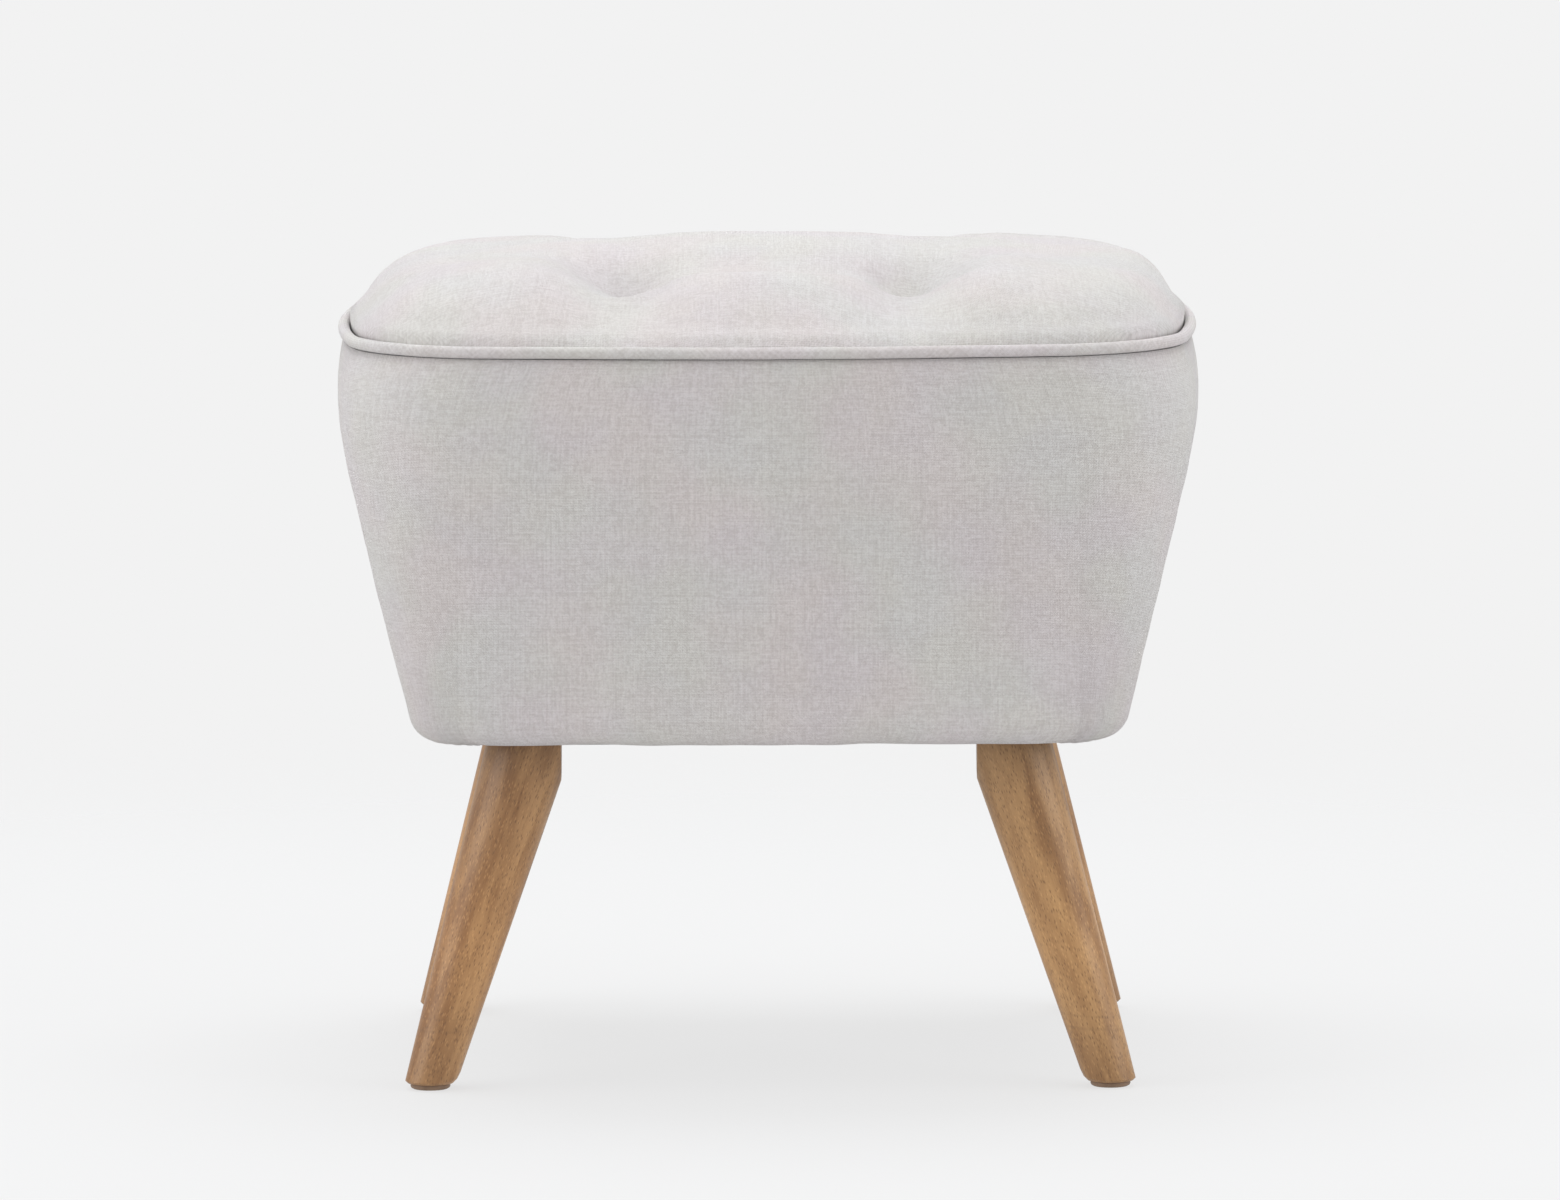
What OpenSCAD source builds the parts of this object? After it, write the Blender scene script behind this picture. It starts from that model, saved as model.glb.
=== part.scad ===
// Upholstered ottoman: a stuffed, tufted top on a leaning box with four splayed turned legs.
// Millimetres, +Z up, front towards -Y, floor at z = 0, origin under the middle.

/* [Body] */
// Widest width over the cloth
body_w = 480; // [450:10:540]
// Widest depth over the cloth
body_d = 400; // [380:10:440]
// Height of the lower edge of the cloth
base_z = 194; // [186:1:204]
// Height at which the sides are widest
belly_z = 375; // [355:5:385]
// Height of the piped seam
seam_z = 410; // [400:1:425]
// Lean of the two ends
end_lean = 15.5; // [12:0.5:17]
// Lean of the front and the back
face_lean = 4.6; // [3:0.2:6]
// Height over which the belly turns into the straight lean
belly_blend = 24; // [15:1:35]
// How far the ends draw in from the belly to the seam
seam_in_x = 5; // [3:0.5:7]
// How far the front and back draw in from the belly to the seam
seam_in_y = 5; // [3:0.5:6]
// Plan corner radius at the seam
corner_r_seam = 88; // [75:1:100]
// Plan corner radius at the lower edge
corner_r_base = 25; // [22:1:32]
// Bow of the ends at the seam
end_bow_seam = 8; // [4:0.5:10]
// Bow of the front and back at the seam
face_bow_seam = 11; // [6:0.5:13]
// Bow of all four sides at the lower edge
base_bow = 2.5; // [2:0.5:4]
// Rounding of the lower edge across the ends
roll_x = 13; // [8:1:15]
// Rounding of the lower edge across the front and back
roll_y = 5; // [3:0.5:7]
// Height of that rounding
roll_h = 13; // [8:1:15]
// Width of the cloth turned under the box
hem_w = 17; // [12:1:17]

/* [Cushion] */
// Height of the crown above the seam
crown_h = 48.5; // [40:0.5:60]
// Part of the crown that rises evenly all the way to the middle
dome_h = 8.5; // [3:0.5:12]
// Run over which the crown rises from the ends
crown_run_end = 15; // [12:1:24]
// Run over which the crown rises from the front and back
crown_run_face = 50; // [36:1:60]
// Sideways distance of a tuft from the widest end
tuft_in_x = 162; // [150:1:172]
// Distance of a tuft from the foremost or rearmost cloth
tuft_in_y = 120; // [110:1:130]
// Depth of the pull at a tuft, below the soft valleys
tuft_drop = 14; // [10:1:20]
// Reach of a tuft's pull
tuft_reach = 27; // [22:1:34]
// Depth of the soft valleys from tuft to tuft, left to right
valley_drop = 10; // [5:1:12]
// Depth of the soft valleys from tuft to tuft, front to back
side_valley_drop = 0.5; // [0:0.5:6]
// Depth of the soft folds from the tufts out to the front and back
fold_drop = 17; // [8:1:19]
// How far the crown's shoulders, beyond the tufts, lie below its even rise
shoulder_drop = 2; // [0:0.5:4]
// Distance of the shoulders from the tufts, sideways
shoulder_out = 67; // [55:1:80]
// Reach of the shoulders' fall
shoulder_reach = 45; // [30:1:55]
// Reach of a soft valley
valley_reach = 30; // [22:1:40]
// Thickness of the cloth
cloth_t = 1.2; // [1:0.1:1.6]
// Thickness of the fibre wadding
wadding_t = 5; // [3:0.5:7]
// Length of the sewn edge that hangs inside the seam
allowance_h = 9; // [6:0.5:9.5]

/* [Piping] */
// Outer diameter of the piping
piping_d = 6.6; // [5:0.2:8]
// How far the piping stands out from the side cloth
piping_out = 1; // [0.5:0.1:2]
// Thickness of the piping's cloth
sleeve_t = 0.8; // [0.6:0.1:1]

/* [Box] */
// How far the box's lower edge lies inside the cloth's at the ends
box_in_x = 1.4; // [1.3:0.1:6]
// How far the box's lower edge lies inside the cloth's at the front and back
box_in_y = 8; // [6:0.5:12]
// Foam beside the top of the box at the ends
foam_x = 18; // [16:1:28]
// Foam beside the top of the box at the front and back
foam_y = 18; // [16:1:22]
// Corner radius of the box at its lower edge
box_r_base = 23; // [18:1:26]
// Corner radius of the box at the deck
box_r_top = 80; // [75:1:90]
// Thickness of the plywood sides
panel_t = 12; // [9:1:15]
// How far the front and rear boards end short of the box's lower corner
board_in_x = 24; // [20:1:32]
// How far the end boards end short of the box's lower corner
board_in_y = 54; // [48:1:62]
// How far the boards overlap a corner post
post_overlap = 40; // [34:1:44]
// Thickness of the deck
deck_t = 12; // [9:1:15]
// Depth of the top of the deck below the seam
deck_below = 10; // [9.5:0.5:13]
// Hole in the deck for a tuft's twine
twine_hole_d = 6; // [5:0.5:8]
// Wall of a corner post across the ends
post_x = 20; // [16:1:22]
// Wall of a corner post across the front and back
post_y = 16.5; // [14:0.5:17]
// Further wall of a corner post above the leg, both ways
post_upper = 15; // [8:1:20]
// Room in a corner post above its leg
leg_room = 4; // [2:1:8]

/* [Legs] */
// How far a foot's centre lies outside the box's lower edge, sideways
foot_out = 6.2; // [0:0.1:12]
// How far a foot's centre lies inside the box's lower edge, front to back
foot_in = 23.4; // [22:0.2:27]
// Sideways splay of a leg
splay_x = 16.6; // [14:0.2:18]
// Front to back splay of a leg
splay_y = 5; // [4:0.2:6]
// Diameter of a leg at the foot
leg_d_foot = 27.2; // [23:0.2:29]
// Growth of a leg's diameter over one unit of height
leg_taper = 0.097; // [0.08:0.001:0.1]
// Height of a leg's upper end
leg_top_z = 258; // [252:1:266]
// Chamfer round the foot
foot_chamfer = 1; // [0.8:0.2:2]
// How far the flat on a leg's inner side lies inside the box's lower edge
flat_in = 67.8; // [65:0.1:72]
// Thickness of a leg rail
rail_t = 25; // [20:1:30]
// Height of a leg rail
rail_h = 70; // [64:1:80]
// Diameter of a glide
glide_d = 22; // [18:0.5:23]
// Thickness of a glide
glide_t = 3.5; // [2.5:0.5:5]
// Diameter of a glide's pin
pin_d = 2.6; // [2:0.2:3]
// Length of a glide's pin
pin_len = 16; // [12:1:22]

/* [Fasteners] */
// Diameter of a leg bolt
bolt_d = 8; // [6:0.5:8.5]
// Length of a leg bolt under its head
bolt_len = 40; // [34:1:44]
// Width across flats of a bolt's head
bolt_head_w = 13; // [11:0.5:14]
// Height of a bolt's head
bolt_head_h = 5.3; // [4:0.1:6]
// Diameter of a bolt's washer
washer_d = 18; // [16:0.5:22]
// Thickness of a bolt's washer
washer_t = 1.6; // [1.2:0.1:2]
// Diameter of a threaded insert
insert_d = 12; // [11:0.5:13]
// Length of a threaded insert
insert_len = 15; // [12:1:17]
// Height of the lower bolt above the box's lower edge
bolt_low = 20; // [16:1:24]
// Distance between the two bolts of a leg
bolt_pitch = 28; // [22:1:32]
// Shank diameter of a wood screw
screw_d = 4; // [3:0.5:4.5]
// Head diameter of a wood screw
screw_head_d = 8; // [7:0.5:9]
// Length of a wood screw
screw_len = 32; // [26:1:36]
// Depth of a screw's head below the wood
screw_sink = 0.4; // [0.2:0.1:1]
// Distance of a board's screws from its end
screw_inset = 15; // [10:1:20]
// Height of a board's lower screws above the room for the leg
screw_above_leg = 16; // [12:1:24]
// Distance of a board's upper screws from the top of the box
screw_below_top = 26; // [20:1:34]
// Distance of a rail's screws from its lower and upper edges
rail_screw_in = 18; // [14:1:24]
// Distance of a deck screw from the end of its board
deck_screw_in = 50; // [40:5:80]
// Diameter of the tuft twine
twine_d = 1.8; // [1.4:0.1:2.2]
// Length of the stitch on top of the cloth
stitch_len = 5; // [4:0.5:6]
// Height of the stitch above the lowest point of the cloth
stitch_lift = 2.3; // [1.5:0.1:2.8]
// Diameter of the washer that holds a twine under the deck
anchor_d = 24; // [18:1:30]
// Thickness of that washer
anchor_t = 3; // [2:0.5:4]

/* [Underside] */
// Thickness of the dust cover
dust_t = 0.8; // [0.6:0.1:1]
// Distance of the dust cover from the lower edge
dust_in = 12; // [8:1:16]
// Gap left round a leg in the dust cover
dust_gap = 2; // [1:0.5:3]

/* [Fits] */
// Clearance beside soft pieces
soft_gap = 0.3; // [0.2:0.05:0.5]
// Clearance between wooden pieces that slide together
wood_gap = 0.2; // [0.1:0.05:0.3]
// Clearance round a shank, thread or twine in its hole
hole_gap = 0.1; // [0.05:0.05:0.2]
// Clearance round a bolt where it passes a rail
bolt_gap = 0.3; // [0.2:0.05:0.5]

/* [Hidden] */

$fn = 48;
// Divisions of each of the eight arcs of a plan outline
arc_steps = 6;
// Ring stations of the cushion, from the seam (1) to near the middle, beside the tuft ring
outer_steps = [1, 0.965, 0.92, 0.86, 0.79, 0.71, 0.63, 0.55];
tuft_step = 0.47;
inner_steps = [0.39, 0.28, 0.14];
// Far more than any piece
far = 1000;
tiny = 0.01;

box_z = base_z + cloth_t + soft_gap;
deck_z = seam_z - deck_below;
box_top_z = deck_z - deck_t;
tuft_x = body_w / 2 - tuft_in_x;
tuft_y = body_d / 2 - tuft_in_y;
box_x_base = half_w(base_z) - box_in_x;
box_y_base = half_d(base_z) - box_in_y;
box_x_top = body_w / 2 - foam_x;
box_y_top = body_d / 2 - foam_y;
panel_x = box_x_base - board_in_x;
panel_y = box_y_base - board_in_y;
foot_x = box_x_base + foot_out;
foot_y = box_y_base - foot_in;
flat_x = box_x_base - flat_in;
piping_r = piping_d / 2;
cord_r = piping_r - sleeve_t - hole_gap;
under_cloth = cloth_t + soft_gap;
under_wadding = under_cloth + wadding_t + soft_gap;
rail_y = box_y_base - panel_t - wood_gap;
rail_top_z = box_z + rail_h;
bolt_z = [box_z + bolt_low, box_z + bolt_low + bolt_pitch];
washer_x = flat_x - rail_t - washer_t;
face_panel_lean = atan2(box_y_top - box_y_base, box_top_z - box_z);
end_panel_lean = atan2(box_x_top - box_x_base, box_top_z - box_z);
screw_head_h = (screw_head_d - screw_d) / 2;
leg_room_h = leg_top_z - box_z + leg_room;
panel_screw_z = [box_z + leg_room_h + screw_above_leg, box_top_z - screw_below_top];
rail_screw_z = [box_z + rail_screw_in, rail_top_z - rail_screw_in];
knot_h = 3;
// Place of a post's deck screw on the diagonal of the rounded corner
corner_share = 0.45;

sides = [[-1, -1], [1, -1], [-1, 1], [1, 1]];

cloth = [0.80, 0.78, 0.76];
wood = [0.66, 0.49, 0.34];
ply = [0.80, 0.68, 0.50];
pine = [0.86, 0.74, 0.54];
foam = [0.95, 0.90, 0.70];
steel = [0.70, 0.71, 0.73];

// Form of the sides: half sizes, corner radius and bows at a height

function lean_run(u) = u - belly_blend * (1 - exp(-u / belly_blend));
function draw_in(z, lean, seam_in) =
    z > belly_z ? seam_in * pow((z - belly_z) / (seam_z - belly_z), 2)
                : tan(lean) * lean_run(belly_z - z);
// Cosine of the lower edge's turn: 1 where the cloth faces down, 0 where it faces out
function facing_down(z) = max(0, min(1, (base_z + roll_h - z) / roll_h));
function facing_out(z) = sqrt(1 - pow(facing_down(z), 2));
function half_w(z) = body_w / 2 - draw_in(z, end_lean, seam_in_x) - roll_x * (1 - facing_out(z));
function half_d(z) = body_d / 2 - draw_in(z, face_lean, seam_in_y) - roll_y * (1 - facing_out(z));
function rise(z) = (z - base_z) / (seam_z - base_z);
function mix(low, high, t) = low + (high - low) * t;
function plan(z) = [
    half_w(z), half_d(z), mix(corner_r_base, corner_r_seam, rise(z)),
    mix(base_bow, end_bow_seam, rise(z)), mix(base_bow, face_bow_seam, rise(z))
];
function grown(p, by) = [p[0] + by, p[1] + by, p[2] + by, p[3], p[4]];

// A plan outline is eight tangent arcs: two bowed ends, two bowed faces and four corners.
// Each arc is [centre, radius, first angle, last angle].
function bow_radius(half, r, bow) = pow(half - r, 2) / (2 * bow) + r;
function arcs(p) =
    let (
        end_r = bow_radius(p[1], p[2], p[3]),
        face_r = bow_radius(p[0], p[2], p[4]),
        end_c = [p[0] - end_r, 0],
        face_c = [0, p[1] - face_r],
        span = norm(end_c - face_c),
        dir = (end_c - face_c) / span,
        to_face = face_r - p[2],
        to_end = end_r - p[2],
        along = (to_face * to_face - to_end * to_end + span * span) / (2 * span),
        aside = sqrt(to_face * to_face - along * along),
        c = face_c + dir * along + [dir[1], -dir[0]] * aside,
        turn_end = atan2(c[1] - end_c[1], c[0] - end_c[0]),
        turn_face = 90 - atan2(c[1] - face_c[1], c[0] - face_c[0])
    )
    [
        [end_c, end_r, -turn_end, turn_end],
        [c, p[2], turn_end, 90 - turn_face],
        [face_c, face_r, 90 - turn_face, 90 + turn_face],
        [[-c[0], c[1]], p[2], 90 + turn_face, 180 - turn_end],
        [-end_c, end_r, 180 - turn_end, 180 + turn_end],
        [-c, p[2], 180 + turn_end, 270 - turn_face],
        [-face_c, face_r, 270 - turn_face, 270 + turn_face],
        [[c[0], -c[1]], p[2], 270 + turn_face, 360 - turn_end]
    ];
function arc_angle(a, i) = mix(a[2], a[3], i / arc_steps);
function outline(p) = [
    for (a = arcs(p)) for (i = [0 : arc_steps - 1])
        a[0] + a[1] * [cos(arc_angle(a, i)), sin(arc_angle(a, i))]
];
function headings(p) = [for (a = arcs(p)) for (i = [0 : arc_steps - 1]) arc_angle(a, i)];
// The outline's point in the middle of the first corner, which the tuft ring is led through
function corner_mid(p) = outline(p)[arc_steps + arc_steps / 2];

function lifted(points, z) = [for (q = points) [q[0], q[1], z]];

// Skin over rings of equally many points. Its ends are closed to a middle point each,
// or, where no middles are given, the last ring is joined to the first. Bands are split along
// one diagonal, and those from turned_from to turned_to along the other, which keeps
// the two faces of a layer parallel.
module skin(rings, middles = [], turned_from = 0, turned_to = -1) {
    n = len(rings[0]);
    m = len(rings);
    closed = len(middles) == 0;
    points = concat([for (r = rings) each r], middles);
    bands = [
        for (j = [0 : closed ? m - 1 : m - 2]) for (i = [0 : n - 1])
            let (k = (i + 1) % n, a = j * n, b = ((j + 1) % m) * n)
                each j >= turned_from && j <= turned_to
                    ? [[a + i, b + i, a + k], [a + k, b + i, b + k]]
                    : [[a + i, b + i, b + k], [a + i, b + k, a + k]]
    ];
    ends = closed ? [] : [
        for (i = [0 : n - 1]) let (k = (i + 1) % n, last = (m - 1) * n)
            each [[m * n, i, k], [m * n + 1, last + k, last + i]]
    ];
    polyhedron(points, concat(bands, ends), convexity = 6);
}

// Form of the cushion

// Height of the crown above the seam, at a distance s from the rim of a ray of length far_rim
function crown(s, far_rim, heading) =
    let (run = mix(crown_run_end, crown_run_face, pow(sin(heading), 2)))
        dome_h * s / far_rim
        + (crown_h - dome_h) * (1 - exp(-s / run)) / (1 - exp(-far_rim / run));
function fade(d, reach) = exp(-pow(d / reach, 2));
function trough(across, along) = fade(across, valley_reach) * fade(max(0, along), valley_reach);
function valley(x, y) = shoulder_drop * fade(abs(x) - tuft_x - shoulder_out, shoulder_reach) + max(
    side_valley_drop * trough(abs(x) - tuft_x, abs(y) - tuft_y),
    fold_drop * trough(abs(x) - tuft_x, tuft_y - abs(y)),
    valley_drop * trough(abs(y) - tuft_y, abs(x) - tuft_x)
);
function pull(x, y) =
    tuft_drop * exp(-pow(norm([abs(x) - tuft_x, abs(y) - tuft_y]) / tuft_reach, 1.3));
// One ring at the fraction t of the way to the rim, let down by drop and, towards the rim, let in
function seat_ring(t, inset, drop) =
    let (
        p = seat_plan(),
        rim = outline(p),
        turn = headings(p),
        lead = corner_mid(p),
        to_x = (tuft_x / (lead[0] * tuft_step) - 1) / (1 - tuft_step),
        to_y = (tuft_y / (lead[1] * tuft_step) - 1) / (1 - tuft_step),
        let_in = inset * pow(max(0, (t - tuft_step) / (1 - tuft_step)), 2)
    )
    [
        for (i = [0 : len(rim) - 1])
            let (
                x = rim[i][0] * t * (1 + to_x * (1 - t)),
                y = rim[i][1] * t * (1 + to_y * (1 - t)),
                reach = norm(rim[i]),
                h = crown(reach * (1 - t), reach, turn[i])
            )
            [
                x - let_in * cos(turn[i]), y - let_in * sin(turn[i]),
                seam_z + h - (valley(x, y) + pull(x, y)) * h / crown_h - drop
            ]
    ];
function seat_rings(inset, drop) = [
    for (t = concat(outer_steps, [tuft_step], inner_steps)) seat_ring(t, inset, drop)
];
function seat_foot(inset, z) = lifted(seat_ring(1, inset, 0), z);
function seat_middle(drop) = [0, 0, seam_z + crown_h - valley(0, 0) - pull(0, 0) - drop];
function reversed(list) = [for (i = [len(list) - 1 : -1 : 0]) list[i]];
// Height of the cloth's top at a tuft
tuft_z = seat_ring(tuft_step, 0, 0)[arc_steps * 3 / 2][2];

function piping_plan() = grown(plan(seam_z), piping_out);
function seat_plan() = grown(piping_plan(), -piping_r - sleeve_t / 2);

// A layer of the cushion between two depths, with a sewn edge that hangs inside the seam
module seat_layer(outer_in, outer_drop, inner_in, inner_drop) {
    foot_z = seam_z - allowance_h;
    skin(
        concat(
            reversed(seat_rings(inner_in, inner_drop)),
            [seat_foot(inner_in, foot_z), seat_foot(outer_in, foot_z)],
            seat_rings(outer_in, outer_drop)
        ),
        [seat_middle(inner_drop), seat_middle(outer_drop)],
        0, len(outer_steps) + len(inner_steps) - 1
    );
}

module tuft_holes(d) {
    for (s = sides)
        translate([s[0] * tuft_x, s[1] * tuft_y, box_top_z - far / 2])
            cylinder(d = d, h = far, $fn = 16);
}

module seat_cover() {
    color(cloth)
        difference() {
            seat_layer(0, 0, cloth_t, cloth_t);
            tuft_holes(twine_d + 2 * hole_gap);
        }
}

module seat_wadding() {
    color("white")
        difference() {
            seat_layer(under_cloth, under_cloth, under_wadding - soft_gap, under_wadding - soft_gap);
            tuft_holes(twine_d + 2 * hole_gap);
        }
}

module seat_foam() {
    color(foam)
        difference() {
            skin(
                concat([seat_foot(under_wadding, deck_z)], seat_rings(under_wadding, under_wadding)),
                [[0, 0, deck_z], seat_middle(under_wadding)]
            );
            tuft_holes(twine_d + 2 * hole_gap);
        }
}

// Piping: a section carried round the seam, drawn (outward, up) from the piping's middle

module along_seam(section) {
    skin([
        for (q = section) lifted(outline(grown(piping_plan(), q[0])), seam_z + q[1])
    ]);
}
function round_section(r, sides) = [
    for (i = [0 : sides - 1]) r * [cos(360 * i / sides), sin(360 * i / sides)]
];

module piping_sleeve() {
    foot = piping_r * cos(45);
    // The tube runs from its lower inner side round the outside to its inner side,
    // and the tail hangs from there
    around = [for (a = [-120 : 30 : 180]) piping_r * [cos(a), sin(a)]];
    tail = [
        [-foot - sleeve_t, -foot], [-foot - sleeve_t, -allowance_h], [-foot, -allowance_h],
        [-foot, -foot]
    ];
    color(cloth)
        difference() {
            along_seam(concat(around, tail));
            along_seam(round_section(piping_r - sleeve_t, 8));
        }
}

module piping_cord() {
    color("white")
        along_seam(round_section(cord_r, 8));
}

// Sides

side_heights = [
    for (k = [0, 0.25, 0.6]) base_z + roll_h * k,
    for (k = [0 : 3]) mix(base_z + roll_h, belly_z - belly_blend, k / 3),
    belly_z, mix(belly_z, seam_z, 0.5), deck_z - soft_gap, seam_z - piping_r - soft_gap
];
// The cloth's ring at a height, let in by a depth square to its face
function side_ring(z, depth) =
    lifted(outline(grown(plan(z), -depth * facing_out(z))), z + depth * facing_down(z));
function hem_ring(depth) =
    let (p = grown(plan(base_z), -hem_w))
        lifted(outline([p[0], p[1], corner_r_base / 3, p[3], p[4]]), base_z + depth);

module side_cover() {
    color(cloth)
        skin(
            concat(
                [hem_ring(0)],
                [for (z = side_heights) side_ring(z, 0)],
                [for (z = reversed(side_heights)) side_ring(z, cloth_t)],
                [hem_ring(cloth_t)]
            ),
            [],
            len(side_heights) + 1, 2 * len(side_heights)
        );
}

module side_foam() {
    heights = concat(
        [for (z = side_heights) if (z > base_z + roll_h / 2 && z < belly_z + 1) z],
        [deck_z - soft_gap]
    );
    color(foam)
        difference() {
            skin(
                [for (z = heights) side_ring(z, under_cloth)],
                [[0, 0, heights[0] + under_cloth * facing_down(heights[0])], [0, 0, deck_z - soft_gap]]
            );
            box_block(soft_gap, far / 2);
            face_boards(soft_gap + wood_gap);
            end_boards(soft_gap + wood_gap);
        }
}

// Box

function box_share(z) = (z - box_z) / (box_top_z - box_z);
function box_x(z) = mix(box_x_base, box_x_top, box_share(z));
function box_y(z) = mix(box_y_base, box_y_top, box_share(z));

module rounded_plan(x, y, r) {
    for (s = sides)
        translate([s[0] * (x - r), s[1] * (y - r)])
            circle(r = r);
    square([2 * (x - r), 2 * y], center = true);
    square([2 * x, 2 * (y - r)], center = true);
}

// The box as one block, grown sideways by a gap, with its flat ends carried on past deck and hem
module box_block(gap, past) {
    translate([0, 0, box_top_z - tiny])
        linear_extrude(past)
            rounded_plan(box_x_top + gap, box_y_top + gap, box_r_top);
    hull() {
        translate([0, 0, box_z])
            linear_extrude(tiny)
                rounded_plan(box_x_base + gap, box_y_base + gap, box_r_base, $fn = 32);
        translate([0, 0, box_top_z - tiny])
            linear_extrude(tiny)
                rounded_plan(box_x_top + gap, box_y_top + gap, box_r_top, $fn = 32);
    }
}

module seat_deck() {
    color(ply)
        difference() {
            translate([0, 0, box_top_z])
                linear_extrude(deck_t)
                    rounded_plan(box_x_top, box_y_top, box_r_top);
            tuft_holes(twine_hole_d);
            deck_screw_places()
                wood_screw(hole_gap);
        }
}

// A leaning board of the side that faces +Y or +X: its cross section, drawn (outward, up)
module board_section(base, top, gap) {
    polygon([
        [base - panel_t - gap, box_z - gap], [base + gap, box_z - gap],
        [top + gap, box_top_z + gap], [top - panel_t - gap, box_top_z + gap]
    ]);
}

module face_board(gap = 0) {
    rotate([90, 0, 90])
        linear_extrude(2 * (panel_x + gap), center = true)
            board_section(box_y_base, box_y_top, gap);
}

module end_board(gap = 0) {
    rotate([90, 0, 0])
        linear_extrude(2 * (panel_y + gap), center = true)
            board_section(box_x_base, box_x_top, gap);
}

module face_boards(gap) {
    for (s = [0, 1])
        mirror([0, s, 0])
            face_board(gap);
}

module end_boards(gap) {
    for (s = [0, 1])
        mirror([s, 0, 0])
            end_board(gap);
}

module rear_panel() {
    color(ply)
        difference() {
            face_board();
            panel_holes();
        }
}

module front_panel() {
    mirror([0, 1, 0])
        rear_panel();
}

module right_panel() {
    color(ply)
        difference() {
            end_board();
            panel_holes();
        }
}

module left_panel() {
    mirror([1, 0, 0])
        right_panel();
}

module panel_holes() {
    panel_screw_places()
        wood_screw(hole_gap);
    rail_screw_places()
        wood_screw(hole_gap);
    deck_screw_places()
        wood_screw(hole_gap);
}

// The post of the +X +Y corner: the block's corner, hollowed inside and rebated for the boards
module corner_post() {
    color(pine)
        difference() {
            hull() {
                post_slice(box_z, box_x_base, box_y_base, box_r_base);
                post_slice(box_top_z - tiny, box_x_top, box_y_top, box_r_top);
            }
            post_hollow(0, box_z + leg_room_h);
            post_hollow(post_upper, far);
            face_board(wood_gap);
            end_board(wood_gap);
            panel_holes();
        }
}

// The hollow inside a post up to a height, drawn back from the lower hollow's sides by a depth
module post_hollow(back, high) {
    translate([-far + box_x_base - post_x - back, -far + box_y_base - post_y - back, 0])
        cube([far, far, high]);
}

module post_slice(z, x, y, r) {
    translate([0, 0, z])
        linear_extrude(tiny)
            intersection() {
                rounded_plan(x, y, r, $fn = 32);
                translate([panel_x - post_overlap, panel_y - post_overlap])
                    square(far);
            }
}

module at_corner(s) {
    mirror([s[0] < 0 ? 1 : 0, 0, 0])
        mirror([0, s[1] < 0 ? 1 : 0, 0])
            children();
}

module corner_post_front_left() { at_corner([-1, -1]) corner_post(); }
module corner_post_front_right() { at_corner([1, -1]) corner_post(); }
module corner_post_rear_left() { at_corner([-1, 1]) corner_post(); }
module corner_post_rear_right() { at_corner([1, 1]) corner_post(); }

module leg_rail_right() {
    color(wood)
        difference() {
            translate([flat_x - rail_t, -rail_y, box_z])
                cube([rail_t, 2 * rail_y, rail_h]);
            for (s = [-1, 1])
                at_corner([1, s])
                    bolt_places()
                        translate([flat_x - rail_t / 2, 0, 0])
                            rotate([0, 90, 0])
                                cylinder(d = bolt_d + 2 * bolt_gap, h = 2 * rail_t, center = true);
            rail_screw_places()
                wood_screw(hole_gap);
        }
}

module leg_rail_left() {
    mirror([1, 0, 0])
        leg_rail_right();
}

// Legs

function leg_y(z) = foot_y - z * tan(splay_y);

// The full turned cone of the +X +Y leg, grown by a gap, round its leaning axis
module leg_cone(gap = 0) {
    lean = [-tan(splay_x), -tan(splay_y), 1];
    length = norm(lean) * (leg_top_z + leg_d_foot);
    translate([foot_x, foot_y, 0])
        rotate([0, acos(1 / norm(lean)), atan2(lean[1], lean[0])])
            translate([0, 0, -leg_d_foot])
                cylinder(
                    d1 = leg_d_foot - leg_taper * leg_d_foot + 2 * gap,
                    d2 = leg_d_foot + leg_taper * length + 2 * gap,
                    h = length + leg_d_foot,
                    $fn = 96
                );
}

module leg() {
    color(wood)
        difference() {
            intersection() {
                leg_cone();
                translate([flat_x, 0, glide_t])
                    cube([far, far, leg_top_z - glide_t]);
                foot_trim();
            }
            bolt_places()
                translate([flat_x - tiny, 0, 0])
                    rotate([0, 90, 0])
                        cylinder(d = insert_d + 2 * hole_gap, h = insert_len + 2, $fn = 32);
            translate([glide_x, glide_y, 0])
                cylinder(d = pin_d + 2 * hole_gap, h = pin_len + 1 + glide_t, $fn = 24);
        }
}

glide_x = foot_x - glide_t * tan(splay_x);
glide_y = leg_y(glide_t);

// An upright cone that takes the foot's edge off, open above it
module foot_trim() {
    foot_r = leg_d_foot / 2;
    translate([glide_x, glide_y, glide_t]) {
        cylinder(r1 = foot_r - foot_chamfer, r2 = foot_r + foot_r, h = foot_r + foot_chamfer, $fn = 96);
        translate([-far, -far, foot_chamfer * 5])
            cube([2 * far, 2 * far, far]);
    }
}

module leg_front_left() { at_corner([-1, -1]) leg(); }
module leg_front_right() { at_corner([1, -1]) leg(); }
module leg_rear_left() { at_corner([-1, 1]) leg(); }
module leg_rear_right() { at_corner([1, 1]) leg(); }

// A glide: a disc with a softened lower edge, bored for its pin
module glide() {
    soften = 0.8;
    color("dimgray")
        translate([glide_x, glide_y, 0])
            rotate_extrude($fn = 48)
                polygon([
                    [pin_d / 2 + hole_gap, 0], [glide_d / 2 - soften, 0], [glide_d / 2, soften],
                    [glide_d / 2, glide_t], [pin_d / 2 + hole_gap, glide_t]
                ]);
}

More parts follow.
